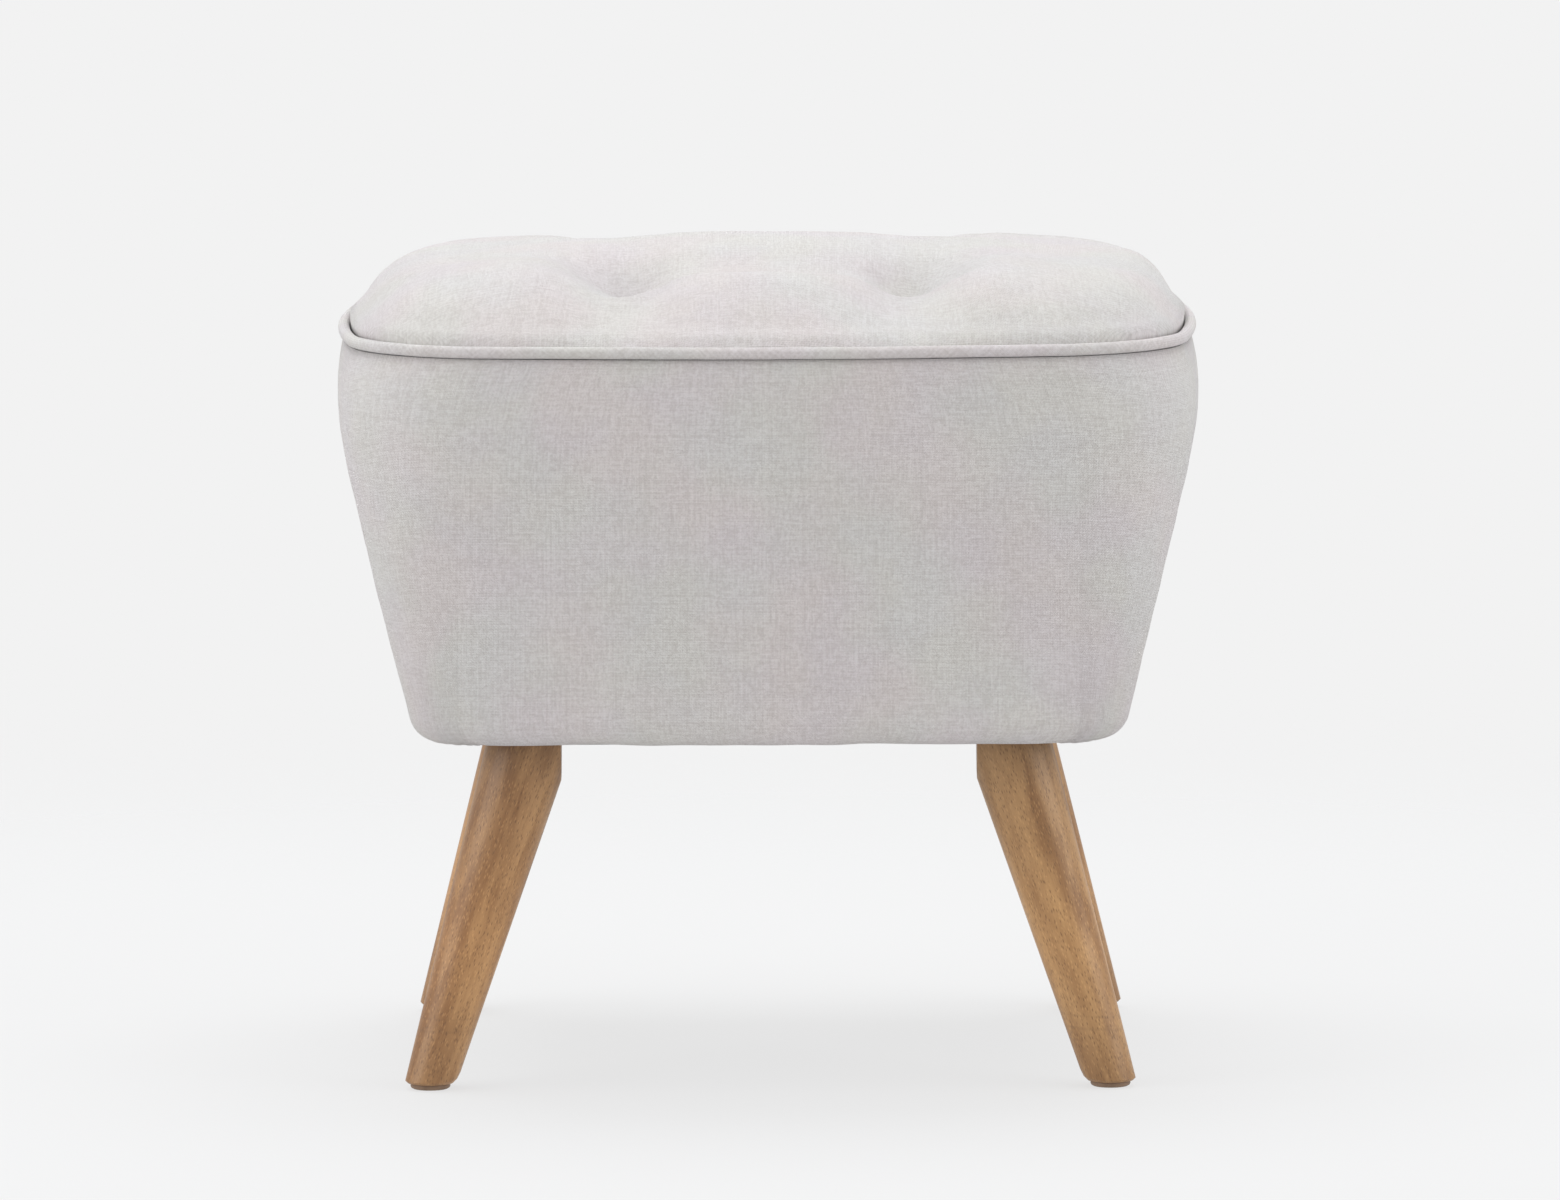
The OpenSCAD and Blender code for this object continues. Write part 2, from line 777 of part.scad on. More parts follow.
module glide_front_left() { at_corner([-1, -1]) glide(); }
module glide_front_right() { at_corner([1, -1]) glide(); }
module glide_rear_left() { at_corner([-1, 1]) glide(); }
module glide_rear_right() { at_corner([1, 1]) glide(); }

module glide_pins() {
    sunk = 1;
    color(steel)
        for (s = sides)
            at_corner(s)
                translate([glide_x, glide_y, sunk])
                    cylinder(d = pin_d, h = pin_len + glide_t - sunk, $fn = 24);
}

// Fasteners

// Places of one leg's bolts: on the rail's height and the leg's axis, at x = 0
module bolt_places() {
    for (z = bolt_z)
        translate([0, leg_y(z), z])
            children();
}

module all_bolts() {
    for (s = sides)
        at_corner(s)
            bolt_places()
                children();
}

module leg_bolts() {
    color(steel)
        all_bolts()
            translate([washer_x, 0, 0])
                rotate([0, 90, 0]) {
                    cylinder(d = bolt_d, h = bolt_len, $fn = 32);
                    translate([0, 0, -bolt_head_h])
                        cylinder(d = bolt_head_w / cos(30), h = bolt_head_h, $fn = 6);
                }
}

module leg_washers() {
    color(steel)
        all_bolts()
            translate([washer_x, 0, 0])
                rotate([0, 90, 0])
                    tube(washer_d, bolt_d + 2 * bolt_gap, washer_t);
}

module leg_inserts() {
    color("goldenrod")
        all_bolts()
            translate([flat_x, 0, 0])
                rotate([0, 90, 0])
                    tube(insert_d, bolt_d + 2 * hole_gap, insert_len);
}

module tube(outer_d, inner_d, h) {
    difference() {
        cylinder(d = outer_d, h = h, $fn = 32);
        translate([0, 0, -h])
            cylinder(d = inner_d, h = 3 * h, $fn = 32);
    }
}

// A countersunk screw with its head's top at the origin, pointing down; a gap makes its hole
module wood_screw(gap = 0) {
    rotate_extrude($fn = 24)
        polygon([
            [0, gap], [screw_head_d / 2 + gap, gap], [screw_d / 2 + gap, -screw_head_h],
            [screw_d / 2 + gap, -screw_len - gap], [0, -screw_len - gap]
        ]);
}

// Screws that hold the leaning boards to the posts, square to the boards
module panel_screw_places() {
    for (s = sides)
        at_corner(s)
            for (z = panel_screw_z) {
                translate([panel_x - screw_inset, box_y(z) - screw_sink, z])
                    rotate([-90 - face_panel_lean, 0, 0])
                        children();
                translate([box_x(z) - screw_sink, panel_y - screw_inset, z])
                    rotate([0, 90 + end_panel_lean, 0])
                        children();
            }
}

module panel_screws() {
    color(steel)
        panel_screw_places()
            wood_screw();
}

module rail_screw_places() {
    for (s = sides)
        at_corner(s)
            for (z = rail_screw_z)
                translate([flat_x - rail_t / 2, box_y(z) - screw_sink, z])
                    rotate([-90 - face_panel_lean, 0, 0])
                        children();
}

module rail_screws() {
    color(steel)
        rail_screw_places()
            wood_screw();
}

// Screws through the deck: along the front and rear boards, and one in each corner post
module deck_screw_places() {
    corner_in = box_r_top * corner_share;
    for (s = sides)
        at_corner(s)
            translate([0, 0, deck_z - screw_sink]) {
                translate([panel_x - deck_screw_in, box_y_top - panel_t / 2])
                    children();
                translate([box_x_top - corner_in, box_y_top - corner_in])
                    children();
            }
}

module deck_screws() {
    color(steel)
        deck_screw_places()
            wood_screw();
}

// Twine from its knot under the anchor up to a short stitch on the cloth
module tuft_twines() {
    low = box_top_z - anchor_t - knot_h;
    high = tuft_z + twine_d / 2 + stitch_lift;
    color("beige")
        for (s = sides)
            translate([s[0] * tuft_x, s[1] * tuft_y, 0]) {
                translate([0, 0, low])
                    cylinder(d = twine_d, h = high - low, $fn = 16);
                translate([0, 0, low])
                    cylinder(d = 3 * twine_d, h = knot_h, $fn = 24);
                translate([0, 0, high])
                    rotate([0, 90, 0])
                        cylinder(d = twine_d, h = stitch_len, center = true, $fn = 16);
            }
}

module tuft_anchors() {
    color("whitesmoke")
        for (s = sides)
            translate([s[0] * tuft_x, s[1] * tuft_y, box_top_z - anchor_t])
                tube(anchor_d, twine_d + 2 * hole_gap, anchor_t);
}

module dust_cover() {
    p = plan(base_z);
    low = base_z - soft_gap - dust_t;
    color([0.15, 0.15, 0.16])
        difference() {
            translate([0, 0, low])
                linear_extrude(dust_t)
                    rounded_plan(p[0] - dust_in, p[1] - dust_in, corner_r_base / 2);
            for (s = sides)
                at_corner(s)
                    intersection() {
                        leg_cone(dust_gap);
                        translate([flat_x - dust_gap, 0, 0])
                            cube(far);
                    }
        }
}

seat_cover();
seat_wadding();
seat_foam();
piping_sleeve();
piping_cord();
side_cover();
side_foam();
seat_deck();
front_panel();
rear_panel();
left_panel();
right_panel();
corner_post_front_left();
corner_post_front_right();
corner_post_rear_left();
corner_post_rear_right();
leg_rail_left();
leg_rail_right();
leg_front_left();
leg_front_right();
leg_rear_left();
leg_rear_right();
glide_front_left();
glide_front_right();
glide_rear_left();
glide_rear_right();
glide_pins();
leg_bolts();
leg_washers();
leg_inserts();
panel_screws();
rail_screws();
deck_screws();
tuft_twines();
tuft_anchors();
dust_cover();
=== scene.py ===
import math

import bpy
import numpy as np
from bpy.props import FloatProperty, FloatVectorProperty, IntProperty, PointerProperty
from mathutils import Matrix, Vector
from mathutils.bvhtree import BVHTree


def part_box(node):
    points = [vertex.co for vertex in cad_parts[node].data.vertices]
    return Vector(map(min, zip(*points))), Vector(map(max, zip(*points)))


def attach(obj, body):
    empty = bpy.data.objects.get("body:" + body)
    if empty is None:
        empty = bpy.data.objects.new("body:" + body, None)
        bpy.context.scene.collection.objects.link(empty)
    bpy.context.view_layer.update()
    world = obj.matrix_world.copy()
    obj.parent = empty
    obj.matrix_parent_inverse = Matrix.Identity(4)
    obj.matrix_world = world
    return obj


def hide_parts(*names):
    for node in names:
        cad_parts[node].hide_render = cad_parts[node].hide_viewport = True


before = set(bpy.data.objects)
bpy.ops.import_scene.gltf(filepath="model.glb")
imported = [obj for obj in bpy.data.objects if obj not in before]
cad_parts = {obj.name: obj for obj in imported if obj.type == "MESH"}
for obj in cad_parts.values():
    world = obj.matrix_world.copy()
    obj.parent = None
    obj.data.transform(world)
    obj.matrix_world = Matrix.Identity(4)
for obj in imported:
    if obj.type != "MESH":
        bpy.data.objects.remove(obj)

bl_info = {
    "name": "Tufted ottoman",
    "version": (1, 0, 0),
    "blender": (4, 5, 0),
    "location": "3D View > Sidebar > Ottoman",
    "description": "Builds the covers, legs, fittings and studio of a tufted ottoman",
    "category": "Add Mesh",
}

PLACES = {
    (-1, -1): "front_left",
    (1, -1): "front_right",
    (-1, 1): "rear_left",
    (1, 1): "rear_right",
}
CORNERS = tuple(PLACES)

# Points on an end, a corner and a face of each outline
SEAT_STEPS = (90, 60, 120)
SIDE_STEPS = (46, 28, 58)
PIPING_STEPS = (130, 76, 170)

# Where the top eases towards the back, and where its front roll runs out: spans of y and x
EASE_SPAN = (-0.020, 0.050)
ROLL_BACK_SPAN = (-0.090, -0.040)
ROLL_SIDE_SPAN = (0.090, 0.170)
SWELL_START = 0.008

# The pull at the tufts: its fall-off, how much narrower it is at the back, and the stitch's own
PULL_POWER = 1.3
REAR_PULL_LOSS = 0.25
STITCH_REACH = 0.011

# The bulge over the piping: heights over the seam, and how far its normal turns to the ends
BROW_HEIGHT, BROW_REACH, BROW_START = 0.0065, 0.0045, 0.0024
END_SPAN = (0.25, 0.80)

# How the top's cloth is held while it settles, and how it lies on the wadding and the rim
SETTLE_FRAMES = 20
HELD_FROM, HELD_FADE, TUFT_HOLD = 0.93, 0.05, 0.008
SOFT_LIFT, WADDING_GAP = 0.0004, 0.0002
RIM_FADE, TOP_WAVE = 0.02, 0.0004
YARN_PITCH = 0.00092

# Unevenness of the side cloth: depth, random seed and size of its waves, and the corner gathers
SIDE_WAVES = ((0.0005, 11, 0.11), (0.00025, 12, 0.035))
GATHER_RISE, GATHER_DEPTH, GATHER_PITCH, EDGE_REST = 0.022, 0.00045, 0.0085, 0.012

# The lap of the piping's ends, at the back
LAP_AT, LAP_HALF, LAP_FADE, LAP_SWELL = 0.03, 0.011, 0.0012, 0.00045


def length(name, value, text):
    return FloatProperty(name=name, description=text, default=value, unit="LENGTH", precision=4)


def factor(name, value, text):
    return FloatProperty(name=name, description=text, default=value)


def angle(name, degrees, text):
    value = math.radians(degrees)
    return FloatProperty(name=name, description=text, default=value, unit="ROTATION")


def colour(name, value, text):
    return FloatVectorProperty(
        name=name, description=text, default=value, size=3, min=0, max=1, subtype="COLOR"
    )


class BodySizes(bpy.types.PropertyGroup):
    """Sizes of the upholstered box."""

    width: length("Width", 0.480, "Widest place of the sides, left to right")
    depth: length("Depth", 0.400, "Widest place of the sides, front to back")
    base_z: length("Bottom height", 0.194, "Height of the bottom edge over the floor")
    belly_z: length("Widest height", 0.375, "Height of the widest place")
    seam_z: length("Seam height", 0.410, "Height of the piped seam")
    end_lean: angle("End lean", 15.5, "How far the ends lean in, going down")
    face_lean: angle("Face lean", 4.6, "How far the front and back lean in, going down")
    belly_blend: length("Belly blend", 0.024, "Height in which the lean sets in")
    seam_in: length("Seam draw", 0.005, "How far the seam lies inside the widest place")
    corner_seam: length("Corner at seam", 0.088, "Plan corner radius at the seam")
    corner_base: length("Corner at bottom", 0.025, "Plan corner radius at the bottom")
    end_bow: length("End bow", 0.008, "How far the ends swell at the seam")
    face_bow: length("Face bow", 0.011, "How far the faces swell at the seam")
    base_bow: length("Bottom bow", 0.0025, "How far the sides swell at the bottom")
    roll_x: length("End roll", 0.013, "How far the bottom edge rolls in at the ends")
    roll_y: length("Face roll", 0.005, "How far the bottom edge rolls in at the faces")
    roll_h: length("Roll height", 0.013, "Height of the rolled bottom edge")
    hem: length("Hem", 0.017, "Cloth turned under the bottom edge")


class SeatSizes(bpy.types.PropertyGroup):
    """Sizes of the domed top."""

    crown: length("Crown", 0.0485, "Height of the dome over the seam")
    dome: length("Dome", 0.0085, "Part of the crown that rises evenly to the middle")
    run_end: length("End run", 0.015, "Distance in which the dome rises from the ends")
    run_face: length("Face run", 0.050, "Distance in which the dome rises from the faces")
    tuft_x: length("Tuft X", 0.078, "Tufts left and right of the middle")
    tuft_y: length("Tuft Y", 0.080, "Tufts in front of and behind the middle")
    tuft_drop: length("Tuft depth", 0.014, "How far a tuft is pulled down")
    tuft_reach: length("Tuft reach", 0.027, "Distance over which a tuft fades")
    valley_drop: length("Valley depth", 0.010, "Depth of the valleys between left and right tufts")
    side_valley_drop: length("Side valley depth", 0.0005, "Depth between front and rear tufts")
    fold_drop: length("Fold to the edge", 0.017, "Depth from the tufts to the front and back")
    shoulder_drop: length("Shoulder fall", 0.002, "How far the shoulders lie below the even rise")
    shoulder_out: length("Shoulder place", 0.067, "Distance of the shoulders from the tufts")
    shoulder_reach: length("Shoulder reach", 0.045, "Reach of the shoulders' fall")
    valley_reach: length("Valley reach", 0.030, "Half width of the valleys")
    roll_swell: length("Roll swell", 0.0075, "How far the front roll swells beside the tufts")
    roll_at: length("Roll place", 0.050, "Distance of the front roll from the seam")
    roll_reach: length("Roll reach", 0.030, "Half width of the front roll")
    roll_fade: length("Roll fade", 0.048, "Distance from a tuft in which the front roll swells")
    end_swell: length("Shoulder swell", 0.0035, "How far the right shoulder swells by its filling")
    rear_ease: factor("Rear ease", 0.6, "Share by which the rear folds are shallower")
    brow: length("Brow", 0.0024, "How far the top bulges over the piping")
    end_brow: factor("End brow", 0.5, "Share by which it bulges further at the ends")
    cloth: length("Cloth", 0.0012, "Thickness of the cloth")
    cells: IntProperty(name="Cells", description="Mesh cells across the top", default=104, min=16)
    puff: factor("Puff", 3.0, "Pressure of the filling on the cloth")
    settle: length("Settle", 0.0009, "Most that a point of the cloth may settle")
    fold: length("Fold depth", 0.0011, "Depth of the small folds at the tufts")


class SewingSizes(bpy.types.PropertyGroup):
    """Sizes of the piping, dust cover and staples."""

    piping: length("Piping", 0.0066, "Diameter of the piping")
    piping_out: length("Piping reach", 0.001, "How far the piping's middle lies outside the seam")
    sleeve: length("Sleeve", 0.0008, "Thickness of the piping's cloth")
    allowance: length("Allowance", 0.009, "Height of the seam tail under the piping")
    dust_in: length("Dust inset", 0.012, "Dust cover's edge inside the bottom edge")
    gap: length("Gap", 0.0003, "Clearance between soft pieces")
    staple_w: length("Staple width", 0.010, "Width of a staple's crown")
    staple_wire: length("Staple wire", 0.0009, "Thickness of a staple's wire")
    staple_pitch: length("Staple pitch", 0.042, "Distance between two staples")


class LegSizes(bpy.types.PropertyGroup):
    """Sizes of the turned legs and their glides."""

    foot_x: length("Foot X", 0.188256, "Leg axis at the floor, from the middle")
    foot_y: length("Foot Y", 0.150967, "Leg axis at the floor, from the middle")
    splay_x: angle("Splay X", 16.6, "Outward lean, left and right")
    splay_y: angle("Splay Y", 5.0, "Outward lean, front and back")
    foot: length("Foot", 0.0272, "Diameter at the floor")
    taper: factor("Taper", 0.097, "Growth of the diameter per length")
    top_z: length("Top height", 0.258, "Height of the leg's top")
    flat_x: length("Flat", 0.114256, "Flat inner side, from the middle")
    chamfer: length("Foot chamfer", 0.001, "Chamfer round the foot")
    glide: length("Glide", 0.022, "Diameter of a glide")
    glide_h: length("Glide height", 0.0035, "Height of a glide")
    rings: IntProperty(name="Rings", description="Rings along a leg", default=72, min=8)
    sides: IntProperty(name="Sides", description="Points round a leg", default=88, min=12)


class Finishes(bpy.types.PropertyGroup):
    """Colours, as linear values."""

    cloth: colour("Cloth", (0.700, 0.670, 0.663), "Linen of the covers")
    cloth_dark: colour("Cloth dark", (0.570, 0.532, 0.520), "Darker yarns of the linen")
    wood: colour("Wood", (0.548, 0.316, 0.128), "Stained wood")
    wood_dark: colour("Wood dark", (0.285, 0.137, 0.043), "Darker streaks of the wood")
    glide: colour("Glide", (0.215, 0.132, 0.080), "Plastic of the glides")
    background: colour("Background", (0.8879, 0.8879, 0.8879), "Background behind the floor")


def sizes():
    return bpy.context.scene.ottoman


# The form, with the same formulas as the part's source


def circle_meeting(c0, r0, c1, r1):
    """The meeting point of two circles with the largest x + y."""
    c0, c1 = np.array(c0), np.array(c1)
    across = c1 - c0
    d = np.hypot(*across)
    along = (r0**2 - r1**2 + d**2) / (2 * d)
    off = math.sqrt(max(0.0, r0**2 - along**2))
    unit = across / d
    foot = c0 + along * unit
    side = np.array([-unit[1], unit[0]])
    return max(foot + off * side, foot - off * side, key=sum)


def outline(plan, steps):
    """Points round a plan of eight tangent arcs, counter-clockwise.

    steps gives the points on an end, a corner and a face.
    """
    half_w, half_d, r, end_bow, face_bow = plan
    end_r = (half_d - r) ** 2 / (2 * end_bow) + r
    face_r = (half_w - r) ** 2 / (2 * face_bow) + r
    end_x, face_y = half_w - end_r, half_d - face_r
    cx, cy = circle_meeting((0, face_y), face_r - r, (end_x, 0), end_r - r)
    te = math.atan2(cy, cx - end_x)
    tf = math.atan2(cx, cy - face_y)
    q = math.pi / 2
    n_end, n_corner, n_face = steps
    arcs = (
        (end_x, 0, end_r, -te, te, n_end),
        (cx, cy, r, te, q - tf, n_corner),
        (0, face_y, face_r, q - tf, q + tf, n_face),
        (-cx, cy, r, q + tf, 2 * q - te, n_corner),
        (-end_x, 0, end_r, 2 * q - te, 2 * q + te, n_end),
        (-cx, -cy, r, 2 * q + te, 3 * q - tf, n_corner),
        (0, -face_y, face_r, 3 * q - tf, 3 * q + tf, n_face),
        (cx, -cy, r, 3 * q + tf, 4 * q - te, n_corner),
    )
    parts = []
    for x, y, radius, start, stop, count in arcs:
        a = np.linspace(start, stop, count, endpoint=False)
        parts.append(np.stack([x + radius * np.cos(a), y + radius * np.sin(a)], 1))
    return np.concatenate(parts)


def grown(plan, by):
    return (plan[0] + by, plan[1] + by) + tuple(plan[2:])


def body_plan(b, z):
    """The plan of the sides at height z."""

    def draw_in(lean, seam_in):
        if z > b.belly_z:
            return seam_in * ((z - b.belly_z) / (b.seam_z - b.belly_z)) ** 2
        u = b.belly_z - z
        return math.tan(lean) * (u - b.belly_blend * (1 - math.exp(-u / b.belly_blend)))

    down = min(1.0, max(0.0, (b.base_z + b.roll_h - z) / b.roll_h))
    rolled = 1 - math.sqrt(1 - down**2)
    rise = (z - b.base_z) / (b.seam_z - b.base_z)

    def mix(low, high):
        return low + (high - low) * rise

    return (
        b.width / 2 - draw_in(b.end_lean, b.seam_in) - b.roll_x * rolled,
        b.depth / 2 - draw_in(b.face_lean, b.seam_in) - b.roll_y * rolled,
        mix(b.corner_base, b.corner_seam),
        mix(b.base_bow, b.end_bow),
        mix(b.base_bow, b.face_bow),
    )


def piping_plan():
    s = sizes()
    return grown(body_plan(s.body, s.body.seam_z), s.sewing.piping_out)


def seat_plan():
    s = sizes()
    return grown(piping_plan(), -s.sewing.piping / 2 - s.sewing.sleeve / 2)


def foot_centre(g):
    """Where a leg's axis meets the top of its glide."""
    h = g.glide_h
    return np.array((g.foot_x - h * math.tan(g.splay_x), g.foot_y - h * math.tan(g.splay_y)))


def smooth(value, low, high):
    """0 at low to 1 at high, with a smooth start and end."""
    share = np.clip((value - low) / (high - low), 0, 1)
    return share * share * (3 - 2 * share)


def seat_height(x, y):
    """Height of the tufted dome over the floor at x, y."""
    s = sizes()
    t = s.seat
    rim = outline(seat_plan(), SEAT_STEPS)
    rim_heading, rim_reach = np.arctan2(rim[:, 1], rim[:, 0]), np.hypot(rim[:, 0], rim[:, 1])
    heading = np.arctan2(y, x)
    reach = np.interp(heading, rim_heading, rim_reach, period=2 * math.pi)
    inward = np.maximum(0, reach - np.hypot(x, y))
    run = t.run_end + (t.run_face - t.run_end) * np.sin(heading) ** 2
    rise = (t.crown - t.dome) * (1 - np.exp(-inward / run)) / (1 - np.exp(-reach / run))
    rise += t.dome * inward / reach

    def trough(across, along):
        return np.exp(-(across**2 + np.maximum(0, along) ** 2) / t.valley_reach**2)

    ax, ay = np.abs(x), np.abs(y)
    valley = np.maximum.reduce(
        [
            t.side_valley_drop * trough(ax - t.tuft_x, ay - t.tuft_y),
            t.fold_drop * trough(ax - t.tuft_x, t.tuft_y - ay),
            t.valley_drop * trough(ay - t.tuft_y, ax - t.tuft_x),
        ]
    )
    shoulder_at = (ax - t.tuft_x - t.shoulder_out) / t.shoulder_reach
    low_shoulder = t.shoulder_drop * np.exp(-(shoulder_at**2))
    # Towards the back the folds are shallower, and the tufts narrower but as deep
    back = smooth(y, *EASE_SPAN)
    from_tuft = np.hypot(ax - t.tuft_x, ay - t.tuft_y)
    pull_reach = t.tuft_reach * (1 - REAR_PULL_LOSS * back)
    pull = t.tuft_drop * np.exp(-((from_tuft / pull_reach) ** PULL_POWER))
    pull += t.rear_ease * back * t.fold_drop * np.exp(-((from_tuft / STITCH_REACH) ** 2))
    valley = low_shoulder + valley * (1 - t.rear_ease * back) + pull
    # The stuffing swells the front roll beside the tufts, and the shoulders at the ends
    from_front = inward * np.abs(np.sin(heading))
    roll_share = 1 - smooth(y, *ROLL_BACK_SPAN)
    roll = np.exp(-(((from_front - t.roll_at) / t.roll_reach) ** 2)) * roll_share
    roll *= 1 - np.exp(-(((ax - t.tuft_x) / t.roll_fade) ** 2))
    roll *= 1 - smooth(ax, *ROLL_SIDE_SPAN)
    shoulder = np.exp(-(((inward - t.run_end) / t.run_end) ** 2))
    shoulder = shoulder * np.maximum(0, np.cos(heading)) ** 4
    swell = t.roll_swell * roll + t.end_swell * shoulder
    swell = swell * (1 - np.exp(-inward / SWELL_START))
    return s.body.seam_z + rise - valley * rise / t.crown + swell


# Meshes


def clear_of(points, node, gap):
    """Lifts points that lie less than gap over the top of a CAD node, with a smooth start."""
    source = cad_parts[node]
    corners = [source.matrix_world @ v.co for v in source.data.vertices]
    tree = BVHTree.FromPolygons(corners, [tuple(f.vertices) for f in source.data.polygons])
    points = np.array(points)
    for i, (x, y, z) in enumerate(points):
        hit = tree.ray_cast(Vector((x, y, 1.0)), Vector((0, 0, -1)))[0]
        if hit is not None:
            need = (hit.z + gap - z) / SOFT_LIFT
            points[i, 2] += SOFT_LIFT * (max(0.0, need) + math.log1p(math.exp(-abs(need))))
    return points


def add_mesh(name, points, faces, rounded=True):
    """A new mesh object at the origin."""
    mesh = bpy.data.meshes.new(name)
    corners = [tuple(p) for p in np.asarray(points, float)]
    mesh.from_pydata(corners, [], [tuple(map(int, f)) for f in faces])
    mesh.validate()
    obj = link(name, mesh)
    only(obj)
    if rounded:
        bpy.ops.object.shade_smooth()
    return obj


def set_uv(mesh, uv):
    """uv: one row for each point, or one for each corner of each face."""
    uv = np.asarray(uv, float)
    corner_point = np.zeros(len(mesh.loops), int)
    mesh.loops.foreach_get("vertex_index", corner_point)
    layer = mesh.uv_layers.get("Cloth") or mesh.uv_layers.new(name="Cloth")
    rows = uv if len(uv) == len(mesh.loops) and len(uv) != len(mesh.vertices) else uv[corner_point]
    layer.uv.foreach_set("vector", rows.ravel())


def link(name, data):
    obj = bpy.data.objects.new(name, data)
    bpy.context.scene.collection.objects.link(obj)
    return obj


def turn_outward(obj, join=0.0):
    """Makes all normals point outward, after joining points that lie closer than join."""
    only(obj)
    bpy.ops.object.mode_set(mode="EDIT")
    bpy.ops.mesh.select_all(action="SELECT")
    if join:
        bpy.ops.mesh.remove_doubles(threshold=join)
    bpy.ops.mesh.normals_make_consistent(inside=False)
    bpy.ops.object.mode_set(mode="OBJECT")


def only(obj):
    bpy.ops.object.select_all(action="DESELECT")
    obj.select_set(True)
    bpy.context.view_layer.objects.active = obj


def points_of(mesh):
    flat = np.zeros(len(mesh.vertices) * 3)
    mesh.vertices.foreach_get("co", flat)
    return flat.reshape(-1, 3)


def normals_of(mesh):
    flat = np.zeros(len(mesh.vertices) * 3)
    mesh.vertices.foreach_get("normal", flat)
    return flat.reshape(-1, 3)


def place_points(obj, points):
    obj.data.vertices.foreach_set("co", np.asarray(points, float).ravel())
    obj.data.update()


def apply_modifiers(obj):
    only(obj)
    for modifier in list(obj.modifiers):
        bpy.ops.object.modifier_apply(modifier=modifier.name)


def thicken(obj, depth):
    """Gives a one-sided sheet its thickness, away from its outer side."""
    solid = obj.modifiers.new("Thickness", "SOLIDIFY")
    solid.thickness = depth
    solid.offset = -1
    solid.use_even_offset = True
    solid.use_quality_normals = True
    apply_modifiers(obj)


def ring_faces(rings, count, flip=False):
    """Quads between closed rings of count points each."""
    i, j = np.meshgrid(np.arange(rings - 1), np.arange(count), indexing="ij")
    k = (j + 1) % count
    quads = [i * count + j, i * count + k, (i + 1) * count + k, (i + 1) * count + j]
    faces = np.stack(quads, -1).reshape(-1, 4)
    return faces[:, ::-1] if flip else faces


def turned_faces(rings, count):
    """Faces of a turned form: its rings, and a fan at each end round two last points."""
    faces = [tuple(f) for f in ring_faces(rings, count)]
    foot, top = rings * count, (rings - 1) * count
    for j in range(count):
        k = (j + 1) % count
        faces += [(k, j, foot), (top + j, top + k, foot + 1)]
    return faces


def run_of(points):
    """Distance along a line of points, from its first to each of them."""
    steps = np.linalg.norm(np.diff(points, axis=0), axis=1)
    return np.concatenate([[0], np.cumsum(steps)])


def at_height(ring, z):
    """Plan points raised to height z."""
    return np.column_stack([ring, np.full(len(ring), z)])


def waves(x, y, seed, count=9, scale=0.1):
    """Smooth unevenness from about -1 to 1, the same in each run."""
    rng = np.random.default_rng(seed)
    total = np.zeros_like(x)
    for _ in range(count):
        heading = rng.uniform(0, math.tau)
        pitch = scale * rng.uniform(0.6, 1.6)
        phase = rng.uniform(0, math.tau)
        way = x * math.cos(heading) + y * math.sin(heading)
        total += np.sin(way / pitch * math.tau + phase)
    return total / math.sqrt(count) / 1.5


# Shaders


def maths(kind):
    """A method that adds a Math node of this kind, fed with the wire and the other values."""

    def method(self, *others):
        return self.tree.node("ShaderNodeMath", {"operation": kind}, [self, *others])

    return method


class Wire:
    """A socket that can be added, multiplied and so on."""

    def __init__(self, tree, value):
        self.tree, self.value = tree, value

    __add__ = __radd__ = maths("ADD")
    __sub__ = maths("SUBTRACT")
    __mul__ = __rmul__ = maths("MULTIPLY")
    __truediv__ = maths("DIVIDE")
    __pow__ = maths("POWER")
    abs = maths("ABSOLUTE")
    sin = maths("SINE")
    floor = maths("FLOOR")
    fract = maths("FRACT")
    lower = maths("MINIMUM")
    higher = maths("MAXIMUM")

    def __rsub__(self, other):
        return self.tree.node("ShaderNodeMath", {"operation": "SUBTRACT"}, [other, self])

    def spread(self, low, high, to_low=0.0, to_high=1.0):
        """low to high becomes to_low to to_high, with a smooth start and end."""
        return self.tree.node(
            "ShaderNodeMapRange",
            {"interpolation_type": "SMOOTHSTEP"},
            {"Value": self, "From Min": low, "From Max": high, "To Min": to_low, "To Max": to_high},
        )


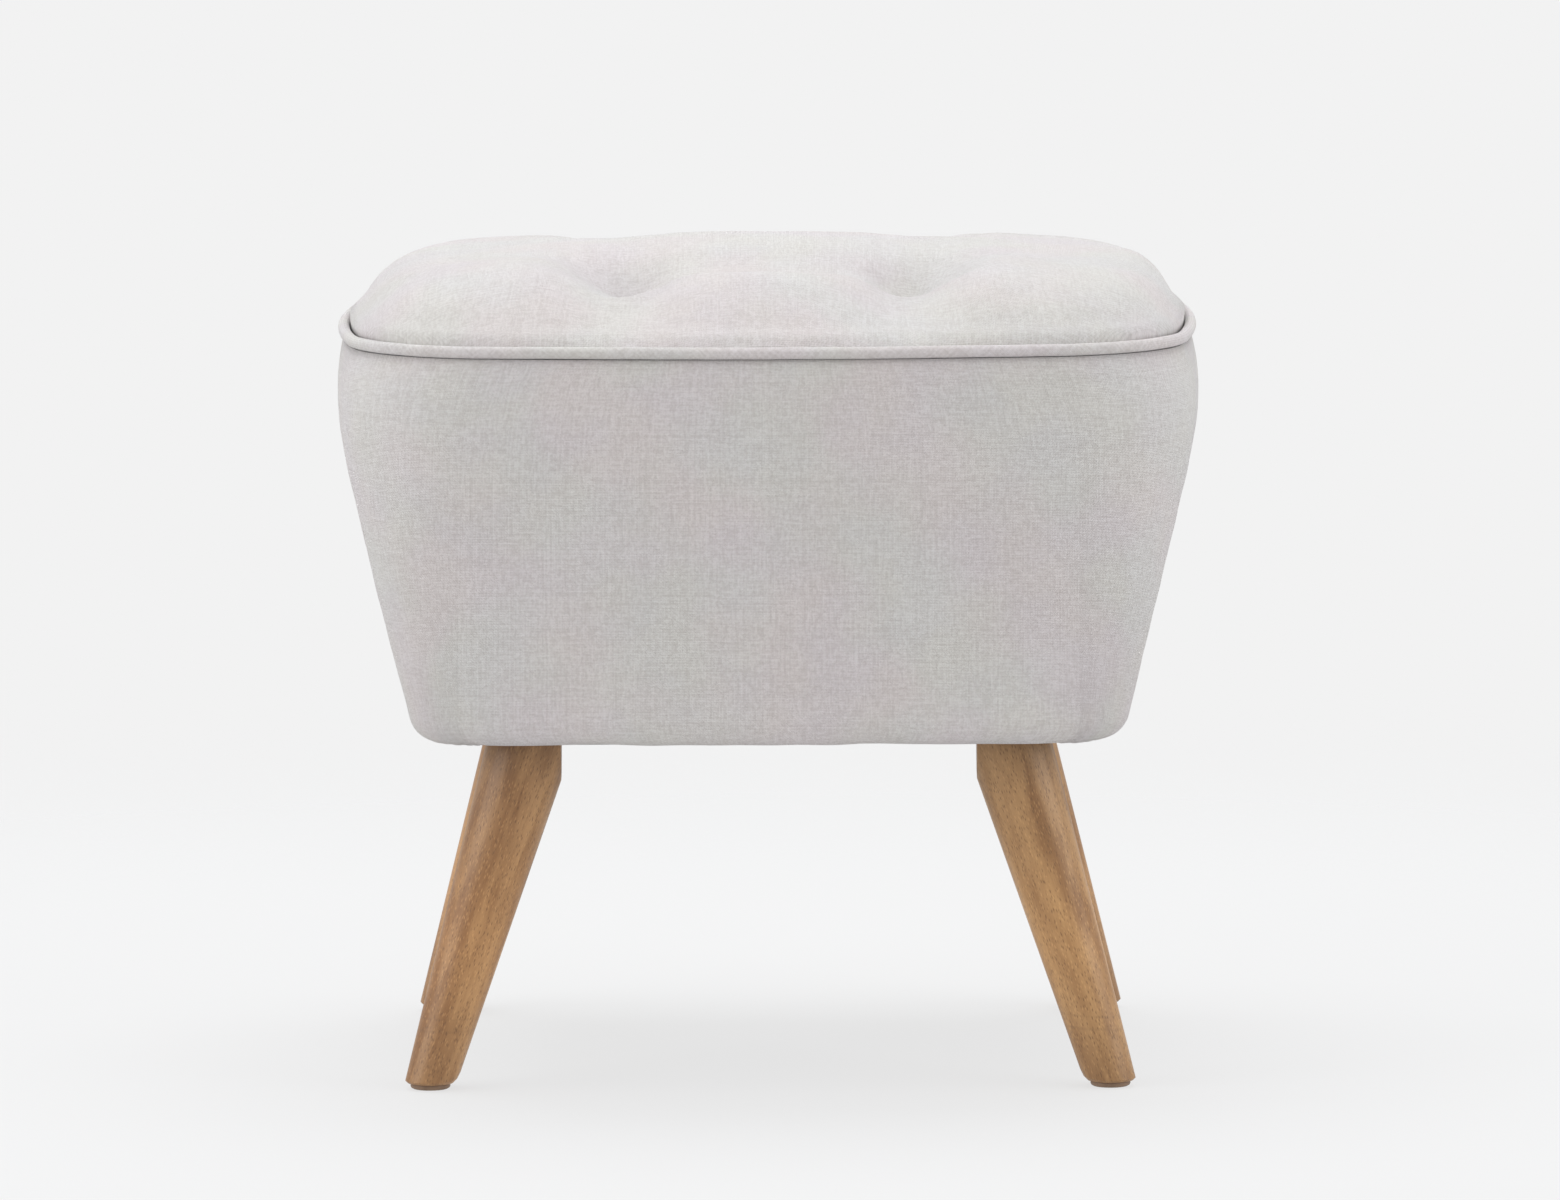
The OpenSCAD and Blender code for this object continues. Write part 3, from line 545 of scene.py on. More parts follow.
class Tree:
    """A material's nodes around one Principled shader."""

    def __init__(self, name):
        self.material = bpy.data.materials.new(name)
        self.material.use_nodes = True
        self.nodes = self.material.node_tree.nodes
        self.links = self.material.node_tree.links
        self.shader = self.nodes["Principled BSDF"]

    def node(self, kind, settings=(), inputs=(), out=0):
        """Adds a node; inputs are by name or in order, and out names the output."""
        made = self.nodes.new(kind)
        for key, value in dict(settings).items():
            setattr(made, key, value)
        pairs = inputs.items() if isinstance(inputs, dict) else enumerate(inputs)
        for key, value in pairs:
            self.feed(made.inputs[key], value)
        return Wire(self, made.outputs[out])

    def feed(self, socket, value):
        if isinstance(value, Wire):
            self.links.new(value.value, socket)
        elif hasattr(value, "__len__") and socket.type == "RGBA":
            socket.default_value = (*value, 1.0)
        else:
            socket.default_value = value

    def place(self, uv=False):
        if uv:
            return self.node("ShaderNodeUVMap", {"uv_map": "Cloth"})
        return self.node("ShaderNodeTexCoord", out="Object")

    def split(self, vector):
        made = self.nodes.new("ShaderNodeSeparateXYZ")
        self.feed(made.inputs[0], vector)
        return [Wire(self, o) for o in made.outputs]

    def join(self, x, y, z=0.0):
        return self.node("ShaderNodeCombineXYZ", (), [x, y, z])

    def turned(self, vector, turn=(0, 0, 0), scale=(1, 1, 1), move=(0, 0, 0)):
        inputs = {"Vector": vector, "Rotation": turn, "Scale": scale, "Location": move}
        return self.node("ShaderNodeMapping", (), inputs)

    def noise(self, vector, scale, detail=2.0, rough=0.5, out="Fac"):
        inputs = {"Vector": vector, "Scale": scale, "Detail": detail, "Roughness": rough}
        return self.node("ShaderNodeTexNoise", (), inputs, out=out)

    def cells(self, vector, scale):
        inputs = {"Vector": vector, "Scale": scale}
        return self.node("ShaderNodeTexVoronoi", {"feature": "F1"}, inputs, out="Distance")

    def mixed(self, factor, a, b, blend="MIX"):
        made = self.nodes.new("ShaderNodeMix")
        made.data_type = "RGBA"
        made.blend_type = blend
        for key, value in ((0, factor), (6, a), (7, b)):
            self.feed(made.inputs[key], value)
        return Wire(self, made.outputs[2])

    def grey(self, value):
        return self.join(value, value, value)

    def tinted(self, base, tint):
        """base times tint."""
        return self.mixed(1.0, base, tint, "MULTIPLY")

    def bump(self, height, depth, strength=1.0):
        inputs = {"Height": height, "Distance": depth, "Strength": strength}
        return self.node("ShaderNodeBump", (), inputs)

    def surface(self, **values):
        for key, value in values.items():
            self.feed(self.shader.inputs[key.replace("_", " ")], value)
        return self.material


def darker(tint, share):
    return tuple(c * share for c in tint)


def linen(name, bias=False):
    """Plain-woven linen: uneven yarns both ways, slubs, and a faint change of tone."""
    light, dark = sizes().finishes.cloth, sizes().finishes.cloth_dark
    t = Tree(name)
    at = t.place(uv=True)
    if bias:
        at = t.turned(at, turn=(0, 0, math.radians(45)))
    wander = t.noise(at, 160.0, 1.0) - 0.5
    u, v, _ = t.split(at)
    across = u / YARN_PITCH + wander * 0.5
    along = v / YARN_PITCH + wander * 0.5
    one_way = {"noise_dimensions": "1D"}
    yarn_u = t.node("ShaderNodeTexWhiteNoise", one_way, {"W": across.floor()})
    yarn_v = t.node("ShaderNodeTexWhiteNoise", one_way, {"W": along.floor() + 0.37})
    slub_u = t.noise(t.turned(at, scale=(1.0, 0.2, 1.0)), 640.0, 2.0)
    slub_v = t.noise(t.turned(at, scale=(0.2, 1.0, 1.0)), 640.0, 2.0)
    fleck = t.noise(at, 620.0, 2.0, 0.7)
    round_u = 1 - (across.fract() * 2 - 1) ** 2
    round_v = 1 - (along.fract() * 2 - 1) ** 2
    over = ((across.floor() + along.floor()) * 0.5).fract() * 2
    over = over.higher(0.0).lower(1.0)
    height = round_u * over + round_v * (1 - over)
    tone = (slub_u + slub_v) * 0.5
    yarn = yarn_u * 0.5 + yarn_v * 0.5
    mottle = t.noise(at, 26.0, 3.0, 0.6)
    shade = tone.spread(0.34, 0.66) * 0.38 + fleck.spread(0.35, 0.65) * 0.30
    shade = (shade + yarn * 0.24 + mottle.spread(0.3, 0.7) * 0.08).spread(0.1, 0.9)
    base = t.mixed(shade, dark, light)
    hue = t.noise(at, 14.0, 1.0)
    warm = t.mixed(hue.spread(0.35, 0.65), (1.0, 0.975, 0.985), (0.98, 1.0, 0.98))
    base = t.tinted(base, warm)
    hue = t.noise(t.turned(at, move=(0.7, 0.3, 0.0)), 19.0, 2.0)
    cool = t.mixed(hue.spread(0.35, 0.65), (1.0, 1.0, 0.980), (0.988, 0.992, 1.0))
    base = t.tinted(base, cool)
    # Painted shade: the grooves between the yarns are coloured darker
    base = t.tinted(base, t.grey(height.spread(0.0, 0.45, 0.88, 1.0)))
    fuzz = t.noise(at, 2600.0, 2.0)
    relief = height * 0.6 + tone * 0.7 + fleck * 0.4 + fuzz * 0.25
    return t.surface(
        Base_Color=base,
        Roughness=0.86,
        Specular_IOR_Level=0.25,
        Sheen_Weight=0.5,
        Sheen_Roughness=0.35,
        Normal=t.bump(relief, 0.0004, 0.85),
    )


def stained_wood(name, light, dark):
    """Turned hardwood, stained and with a satin finish; its grain follows the leg's own attribute.
    """
    t = Tree(name)
    at = t.node("ShaderNodeAttribute", {"attribute_name": "grain"}, out="Vector")
    bent = t.noise(t.turned(at, scale=(1.0, 1.0, 0.22)), 26.0, 3.0, 0.6, out="Color")
    moved = t.node("ShaderNodeVectorMath", {"operation": "SCALE"}, {0: bent, "Scale": 0.014})
    way = t.node("ShaderNodeVectorMath", {"operation": "ADD"}, [at, moved])
    x, y, z = t.split(way)
    rings = ((x * x + (y + 0.045) * (y + 0.045)) ** 0.5 + z * 0.05) * 150.0
    late = rings.fract().spread(0.4, 0.95) * (1 - rings.fract().spread(0.95, 1.0))
    long_at = t.turned(at, scale=(1.0, 1.0, 0.05))
    fibre = t.noise(long_at, 1300.0, 2.0, 0.6)
    figure = t.noise(t.turned(way, scale=(1.0, 1.0, 0.16)), 95.0, 3.0, 0.62)
    blotch = t.noise(t.turned(way, scale=(1.0, 1.0, 0.30)), 52.0, 2.0, 0.55)
    fleck_at = t.turned(at, scale=(1.0, 1.0, 0.32))
    dark_fleck = 1 - t.cells(fleck_at, 900.0).spread(0.12, 0.42)
    light_fleck = 1 - t.cells(t.turned(fleck_at, move=(0.4, 0.2, 0.3)), 820.0).spread(0.10, 0.42)
    band = t.noise(t.turned(way, scale=(1.0, 1.0, 0.09)), 40.0, 2.0, 0.5).spread(0.46, 0.66)
    depth = late * 0.16 + figure.spread(0.34, 0.70) * 0.46 + blotch.spread(0.36, 0.66) * 0.40
    depth = depth + fibre.spread(0.3, 0.7) * 0.12 + band * 0.34
    base = t.mixed(depth.lower(1.0), light, dark)
    base = t.mixed(light_fleck * 0.28, base, tuple(min(1.0, c * 1.5) for c in light))
    base = t.mixed(dark_fleck * fibre.spread(0.32, 0.54) * 0.75, base, darker(dark, 0.6))
    across, _, height = t.split(t.place())
    # Two marks of the turning tool; painted shadow from the body above darkens the upper leg, and
    # the wood is darker towards the foot
    bent_height = height + t.noise(at, 18.0, 1.0) * 0.006
    marks = 1 - (bent_height - 0.036).abs().spread(0.0003, 0.0012)
    marks = marks + (1 - (bent_height - 0.043).abs().spread(0.0002, 0.0009)) * 0.7
    # Painted shadow: the leg gets darker towards its top, under the body
    upper_shadow_and_marks = height.spread(0.07, 0.19, 1.0, 0.73) * (1 - marks * 0.09)
    base = t.tinted(base, t.grey(upper_shadow_and_marks * height.spread(0.0, 0.09, 0.76, 1.0)))
    # The left legs' wood is a little redder than the right ones'
    left_to_right = across.spread(-0.01, 0.01)
    base = t.tinted(base, t.mixed(left_to_right, (1.02, 0.955, 0.93), (1.03, 1.0, 0.98)))
    return t.surface(
        Base_Color=base,
        Roughness=figure.spread(0.3, 0.7, 0.50, 0.62),
        Coat_Weight=0.30,
        Coat_Roughness=0.30,
        Normal=t.bump(dark_fleck * -0.6 + fibre * 0.3, 0.00015, 0.6),
    )


def raw_wood(name, light, dark, along="x", scale=1.0):
    """Unfinished sawn wood for the hidden frame."""
    t = Tree(name)
    squeeze = {"x": (0.04, 1, 1), "y": (1, 0.04, 1), "z": (1, 1, 0.04)}[along]
    at = t.turned(t.place(), scale=squeeze)
    wide = t.noise(at, 60.0 * scale, 3.0, 0.6)
    fine = t.noise(at, 900.0, 2.0)
    lines = (wide * 14.0).fract().spread(0.3, 1.0)
    base = t.mixed((lines * 0.6 + fine.spread(0.3, 0.7) * 0.4).lower(1.0), light, dark)
    relief = fine + lines * 0.3
    return t.surface(Base_Color=base, Roughness=0.72, Normal=t.bump(relief, 0.0002, 0.5))


def plywood(name, light, dark):
    """Plywood: a figured face, and plies that show where the surface turns to an edge."""
    t = Tree(name)
    at = t.place()
    wide = t.noise(t.turned(at, scale=(0.05, 1, 1)), 55.0, 3.0, 0.6)
    fine = t.noise(t.turned(at, scale=(0.04, 1, 1)), 950.0, 2.0)
    figure = (wide * 9.0).fract().spread(0.2, 1.0)
    _, _, z = t.split(at)
    plies = (z * 420.0).fract().spread(0.45, 0.55)
    shade = figure * 0.5 + fine.spread(0.3, 0.7) * 0.25 + plies * 0.25
    base = t.mixed(shade.lower(1.0), light, dark)
    return t.surface(Base_Color=base, Roughness=0.7, Normal=t.bump(fine, 0.0002, 0.5))


def metal(name, tint, rough):
    """Turned or drawn metal with fine marks and a little handling wear."""
    t = Tree(name)
    at = t.place()
    marks = t.noise(t.turned(at, scale=(1, 1, 0.1)), 4000.0, 2.0)
    smear = t.noise(at, 220.0, 3.0)
    base = t.mixed(smear.spread(0.35, 0.7), tint, darker(tint, 0.72))
    return t.surface(
        Base_Color=base,
        Metallic=1.0,
        Roughness=marks.spread(0.3, 0.7, rough, rough + 0.14),
        Normal=t.bump(marks, 0.00006, 0.4),
    )


def foam(name, light, dark):
    """Open-cell foam."""
    t = Tree(name)
    at = t.place()
    cell = t.cells(at, 1500.0)
    soft = t.noise(at, 30.0, 2.0)
    base = t.mixed((cell.spread(0.1, 0.6) * 0.6 + soft * 0.4).lower(1.0), dark, light)
    return t.surface(Base_Color=base, Roughness=0.95, Normal=t.bump(cell, 0.0006, 0.8))


def wadding(name, light, dark):
    """Lofty polyester fibre."""
    t = Tree(name)
    at = t.place()
    strands = t.noise(t.turned(at, turn=(0.3, 0.2, 0.6), scale=(0.2, 1, 1)), 900.0, 4.0, 0.7)
    other = t.noise(t.turned(at, turn=(0.1, 0.4, 2.2), scale=(0.2, 1, 1)), 760.0, 4.0, 0.7)
    mat = strands * 0.5 + other * 0.5
    base = t.mixed(mat.spread(0.35, 0.65), dark, light)
    return t.surface(Base_Color=base, Roughness=0.95, Normal=t.bump(mat, 0.0008, 0.8))


def plastic(name, tint, rough=0.45):
    """Moulded plastic with a fine texture."""
    t = Tree(name)
    at = t.place()
    grain = t.noise(at, 2400.0, 2.0)
    soil = t.noise(at, 130.0, 3.0)
    base = t.mixed(soil.spread(0.4, 0.75), tint, darker(tint, 0.78))
    worn = soil.spread(0.3, 0.7, rough, rough + 0.15)
    return t.surface(Base_Color=base, Roughness=worn, Normal=t.bump(grain, 0.00008, 0.5))


def twine(name, tint):
    """Laid yarn: the strands wind round Z and X alike."""
    t = Tree(name)
    x, y, z = t.split(t.place())
    strands = ((x + y) * 2600.0 + z * 2600.0).sin()
    fuzz = t.noise(t.place(), 3000.0, 2.0)
    base = t.mixed((strands * 0.35 + fuzz * 0.8).spread(0.0, 1.0), darker(tint, 0.6), tint)
    return t.surface(Base_Color=base, Roughness=0.9, Normal=t.bump(strands + fuzz, 0.0002, 0.7))


def nonwoven(name):
    """Black spunbond cloth with its pattern of pressed points and a little dust."""
    t = Tree(name)
    at = t.place()
    x, y, _ = t.split(at)
    dots = (x * 2400.0).sin() * (y * 2400.0).sin()
    strands = t.noise(at, 1400.0, 4.0, 0.75)
    dust = t.noise(at, 40.0, 3.0)
    base = t.mixed(strands.spread(0.4, 0.7), (0.018, 0.018, 0.019), (0.036, 0.036, 0.037))
    base = t.mixed(dust.spread(0.5, 0.8) * 0.25, base, (0.16, 0.15, 0.14))
    relief = strands * 0.7 - dots.spread(0.55, 0.9)
    return t.surface(Base_Color=base, Roughness=0.88, Normal=t.bump(relief, 0.0002, 0.7))


def paint(obj, material):
    obj.data.materials.clear()
    obj.data.materials.append(material)


# Pieces


class OTTOMAN_OT_seat(bpy.types.Operator):
    """Sews the domed top: the cloth settles over the filling, then gets its folds at the tufts"""

    bl_idname = "ottoman.seat"
    bl_label = "Tufted top"

    def sheet(self):
        """A square net over the seat's outline: x, y, a 0 to 1 distance from the middle, faces."""
        s = sizes()
        n = s.seat.cells + 1
        rim = outline(seat_plan(), SEAT_STEPS)
        ring = np.vstack([rim, rim[:1]])
        run = run_of(ring)
        total = run[-1]
        n_end, n_corner, n_face = SEAT_STEPS
        mid, face, end = n_end + n_corner // 2, n_face + n_corner, n_end + n_corner
        marks = [run[mid + i] for i in (0, face, face + end, face + end + face)]
        marks = [marks[3] - total] + marks
        line = np.linspace(-1, 1, n)
        a, b = np.meshgrid(line, line, indexing="ij")
        t = np.maximum(np.abs(a), np.abs(b))
        ta = np.where(t > 0, a / np.maximum(t, 1e-9), 0)
        tb = np.where(t > 0, b / np.maximum(t, 1e-9), 0)
        at = np.zeros_like(a)
        sides = (
            (np.abs(ta - 1) < 1e-6, (tb + 1) / 2, 0),
            (np.abs(tb - 1) < 1e-6, (1 - ta) / 2, 1),
            (np.abs(ta + 1) < 1e-6, (1 - tb) / 2, 2),
            (np.abs(tb + 1) < 1e-6, (ta + 1) / 2, 3),
        )
        for where, share, k in reversed(sides):
            at[where] = (marks[k] + (marks[k + 1] - marks[k]) * share)[where]
        at = np.mod(at, total)
        rx, ry = np.interp(at, run, ring[:, 0]), np.interp(at, run, ring[:, 1])
        half_w, half_d = seat_plan()[:2]
        # The net is straight in the middle and takes the outline's shape towards the edge
        w = t**3
        x = t * ((1 - w) * ta * half_w * 0.93 + w * rx)
        y = t * ((1 - w) * tb * half_d * 0.93 + w * ry)
        x, y, t = x.ravel(), y.ravel(), t.ravel()
        i, j = np.meshgrid(np.arange(n - 1), np.arange(n - 1), indexing="ij")
        k = i * n + j
        faces = np.stack([k, k + n, k + n + 1, k + 1], -1).reshape(-1, 4)
        return x, y, t, faces

    def settle(self, obj, hold):
        """Lets the cloth settle under the filling's pressure, held at the seam and the tufts."""
        s = sizes()
        before, out = points_of(obj.data), normals_of(obj.data)
        group = obj.vertex_groups.new(name="Held")
        for i, weight in enumerate(hold):
            if weight > 0.01:
                group.add([i], float(weight), "REPLACE")
        cloth = obj.modifiers.new("Cloth", "CLOTH")
        setup = cloth.settings
        setup.quality = 6
        setup.mass = 0.25
        setup.tension_stiffness = setup.compression_stiffness = 25
        setup.shear_stiffness = 8
        setup.bending_stiffness = 0.6
        setup.vertex_group_mass = "Held"
        setup.use_pressure = True
        setup.uniform_pressure_force = s.seat.puff
        setup.shrink_min = -0.012
        setup.effector_weights.gravity = 0
        cloth.point_cache.frame_start = 1
        cloth.point_cache.frame_end = SETTLE_FRAMES
        for number in range(1, SETTLE_FRAMES + 1):
            bpy.context.scene.frame_set(number)
        apply_modifiers(obj)
        bpy.context.scene.frame_set(1)
        move = points_of(obj.data) - before
        inward = np.minimum(0, np.einsum("ij,ij->i", move, out))
        move -= out * inward[:, None]
        far = np.maximum(np.linalg.norm(move, axis=1), 1e-9)
        cap = s.seat.settle
        place_points(obj, before + move * (cap * np.tanh(far / cap) / far)[:, None])
        obj.vertex_groups.clear()

    def folds(self, x, y):
        """Depth of the small folds that run out from each tuft."""
        s = sizes()
        depth = np.zeros_like(x)
        for number, (sx, sy) in enumerate(CORNERS):
            rng = np.random.default_rng(31 + number)
            dx, dy = x - sx * s.seat.tuft_x, y - sy * s.seat.tuft_y
            far, heading = np.hypot(dx, dy), np.arctan2(dy, dx)
            for k in range(8):
                course = k * math.tau / 8 + rng.uniform(-0.22, 0.22)
                width = rng.uniform(0.10, 0.20)
                reach = rng.uniform(0.011, 0.026)
                off = np.abs((heading - course + math.pi) % math.tau - math.pi)
                near = far / reach * np.exp(1 - far / reach)
                depth += rng.uniform(0.4, 1.0) * np.exp(-((off / width) ** 2)) * near
        return depth

    def execute(self, context):
        s = sizes()
        x, y, t, faces = self.sheet()
        z = seat_height(x, y)
        obj = add_mesh("TopCover", np.stack([x, y, z], 1), faces)
        edge = np.clip((t - HELD_FROM) / HELD_FADE, 0, 1)
        near = np.hypot(np.abs(x) - s.seat.tuft_x, np.abs(y) - s.seat.tuft_y)
        hold = np.maximum(edge, np.exp(-((near / TUFT_HOLD) ** 2)))
        self.settle(obj, hold)
        finer = obj.modifiers.new("Finer", "SUBSURF")
        finer.levels = finer.render_levels = 1
        apply_modifiers(obj)
        points, out = points_of(obj.data), normals_of(obj.data)
        rim_share = np.clip((points[:, 2] - s.body.seam_z) / RIM_FADE, 0, 1)
        lift = s.seat.fold * self.folds(points[:, 0], points[:, 1])
        lift += TOP_WAVE * waves(points[:, 0], points[:, 1], 5, scale=0.05)
        height = points[:, 2] - s.body.seam_z
        brow = s.seat.brow * np.exp(-(((height - BROW_HEIGHT) / BROW_REACH) ** 2))
        brow = brow * np.clip(height / BROW_START, 0, 1)
        brow *= 1 + s.seat.end_brow * smooth(np.abs(out[:, 0]), *END_SPAN)
        points = points + out * (lift * rim_share + brow)[:, None]
        place_points(obj, clear_of(points, "seat_wadding", s.seat.cloth + WADDING_GAP))
        points = points_of(obj.data)
        set_uv(obj.data, self.unrolled(points))
        thicken(obj, s.seat.cloth)
        paint(obj, linen("Linen top"))
        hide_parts("seat_cover")
        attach(obj, "root")
        return {"FINISHED"}

    def unrolled(self, points):
        """Lays the cloth flat: distances along its threads instead of x and y."""
        s = sizes()
        gx = np.linspace(-s.body.width / 2, s.body.width / 2, 241)
        gy = np.linspace(-s.body.depth / 2, s.body.depth / 2, 201)
        mx, my = np.meshgrid(gx, gy, indexing="ij")
        height = seat_height(mx, my)
        dx, dy = gx[1] - gx[0], gy[1] - gy[0]
        step_x = np.hypot(np.diff(height, axis=0), dx)
        step_y = np.hypot(np.diff(height, axis=1), dy)
        u = np.concatenate([np.zeros((1, len(gy))), np.cumsum(step_x, 0)], 0)
        v = np.concatenate([np.zeros((len(gx), 1)), np.cumsum(step_y, 1)], 1)
        u -= u[len(gx) // 2]
        v -= v[:, len(gy) // 2][:, None]
        fx = np.clip((points[:, 0] - gx[0]) / dx, 0, len(gx) - 1.001)
        fy = np.clip((points[:, 1] - gy[0]) / dy, 0, len(gy) - 1.001)
        ix, iy = fx.astype(int), fy.astype(int)
        px, py = fx - ix, fy - iy

        def read(grid):
            low = grid[ix, iy] * (1 - px) + grid[ix + 1, iy] * px
            high = grid[ix, iy + 1] * (1 - px) + grid[ix + 1, iy + 1] * px
            return low * (1 - py) + high * py

        return np.stack([read(u), read(v)], 1)


class OTTOMAN_OT_sides(bpy.types.Operator):
    """Stretches the side cover down the box and turns its hem under"""

    bl_idname = "ottoman.sides"
    bl_label = "Side cover"

    def execute(self, context):
        s = sizes()
        b = s.body
        top = b.seam_z - s.sewing.piping / 2 - s.sewing.gap
        upper = np.linspace(top, b.base_z + b.roll_h, 46)
        turn = np.radians(np.linspace(0, 90, 9)[1:])
        lower = b.base_z + b.roll_h * (1 - np.sin(turn))
        heights = np.concatenate([upper, lower])
        rings = [at_height(outline(body_plan(b, z), SIDE_STEPS), z) for z in heights]
        base = body_plan(b, b.base_z)
        for inset in np.linspace(0, b.hem, 5)[1:]:
            tighter = base[:2] + (max(0.004, base[2] - inset),) + base[3:]
            rings.append(at_height(outline(grown(tighter, -inset), SIDE_STEPS), b.base_z))
        rings = np.array(rings)
        count = rings.shape[1]
        drops = np.linalg.norm(np.diff(rings, axis=0), axis=2).mean(1)
        fall = np.concatenate([[0], np.cumsum(drops)])
        middle = rings[len(upper) // 3]
        round_run = run_of(middle)
        rings = self.relax(rings, round_run, fall)
        faces = ring_faces(len(rings), count, flip=True)
        total = round_run[-1] + np.linalg.norm(middle[0] - middle[-1])
        u = np.tile(round_run, (len(rings), 1))
        v = np.tile(-fall[:, None], (1, count))
        uv = np.stack([u, v], 2).reshape(-1, 2)
        corner_uv = uv[faces.ravel()].reshape(-1, 4, 2)
        wraps = corner_uv[:, :, 0].max(1) - corner_uv[:, :, 0].min(1) > total / 2
        across = corner_uv[wraps][:, :, 0]
        corner_uv[wraps, :, 0] = np.where(across < total / 2, across + total, across)
        obj = add_mesh("SideCover", rings.reshape(-1, 3), faces)
        set_uv(obj.data, corner_uv.reshape(-1, 2))
        thicken(obj, s.seat.cloth)
        paint(obj, linen("Linen sides"))
        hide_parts("side_cover")
        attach(obj, "root")
        return {"FINISHED"}

    def relax(self, rings, round_run, fall):
        """Adds the cloth's unevenness: soft swells, and gathers round the tight bottom corners."""
        s = sizes()
        across = np.roll(rings, -1, 1) - np.roll(rings, 1, 1)
        down = np.gradient(rings, axis=0)
        out = np.cross(down, across)
        out /= np.maximum(np.linalg.norm(out, axis=2), 1e-9)[:, :, None]
        u, v = np.meshgrid(round_run, fall)
        lift = sum(depth * waves(u, v, seed, scale=size) for depth, seed, size in SIDE_WAVES)
        height = rings[:, :, 2] - s.body.base_z
        heading = np.unwrap(np.arctan2(out[:, :, 1], out[:, :, 0]), axis=1)
        turn = np.abs(np.gradient(heading, axis=1))
        tight = np.clip(turn / 0.03, 0, 1)
        gather = np.exp(-height / GATHER_RISE) * tight
        lift += GATHER_DEPTH * gather * np.sin(u / GATHER_PITCH * math.tau)
        keep = np.clip(fall / EDGE_REST, 0, 1) * np.clip((fall[-1] - fall) / EDGE_REST, 0, 1)
        return rings + out * (lift * keep[:, None])[:, :, None]


class OTTOMAN_OT_piping(bpy.types.Operator):
    """Sews the bias-cut piping round the seam, with its lap at the back and its tail"""

    bl_idname = "ottoman.piping"
    bl_label = "Piping"

    def execute(self, context):
        s = sizes()
        w = s.sewing
        line = outline(piping_plan(), PIPING_STEPS)
        count = len(line)
        across = np.roll(line, -1, 0) - np.roll(line, 1, 0)
        across /= np.linalg.norm(across, axis=1)[:, None]
        out = np.column_stack([across[:, 1], -across[:, 0]])
        run = run_of(line)
        total = run[-1] + np.linalg.norm(line[0] - line[-1])
        r = w.piping / 2
        foot = r * math.cos(math.radians(45))
        around = np.radians(np.linspace(-120, 180, 21))
        tube = np.stack([r * np.cos(around), r * np.sin(around)], 1)
        outer = -foot - w.sleeve
        tail = [(outer, -foot), (outer, -w.allowance), (-foot, -w.allowance), (-foot, -foot)]
        section = np.vstack([tube, tail])
        is_tube = np.arange(len(section)) < len(tube)
        phase = run / total * math.tau
        rng = np.random.default_rng(3)
        rise = np.zeros(count)
        push = np.zeros(count)
        for turns in (3, 5, 8, 13, 21, 34, 55):
            for way in (rise, push):
                part = rng.uniform(0.3, 1) * np.sin(turns * phase + rng.uniform(0, math.tau))
                way += part / turns**0.5
        rise, push = 0.00022 * rise, 0.00012 * push
        from_lap = np.where(line[:, 1] > 0, np.abs(line[:, 0] - LAP_AT), 9.0)
        lap = LAP_SWELL * np.clip((LAP_HALF - from_lap) / LAP_FADE, 0, 1)
        rings = []
        for k, (a, b) in enumerate(section):
            swell = (1 + lap / r) if is_tube[k] else np.ones(count)
            fall = np.clip((b + w.allowance) / (w.allowance - foot), 0, 1)
            ring = line + out * ((a * swell) + push * fall)[:, None]
            rings.append(np.column_stack([ring, s.body.seam_z + b * swell + rise * fall]))
        rings.append(rings[0])
        rings = np.array(rings)
        faces = ring_faces(len(rings), count)
        faces = faces % (len(section) * count)
        wound = run_of(rings[:, 0])
        u = np.tile(np.append(run, total), (len(rings), 1))
        v = np.tile(wound[:, None], (1, count + 1))
        i, j = np.meshgrid(np.arange(len(rings) - 1), np.arange(count), indexing="ij")
        corner = [(i, j), (i, j + 1), (i + 1, j + 1), (i + 1, j)]
        uv = np.stack([np.stack([u[a, b], v[a, b]], -1) for a, b in corner], 2).reshape(-1, 2)
        obj = add_mesh("Piping", rings[:-1].reshape(-1, 3), faces)
        set_uv(obj.data, uv)
        paint(obj, linen("Linen piping", bias=True))
        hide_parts("piping_sleeve")
        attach(obj, "root")
        return {"FINISHED"}


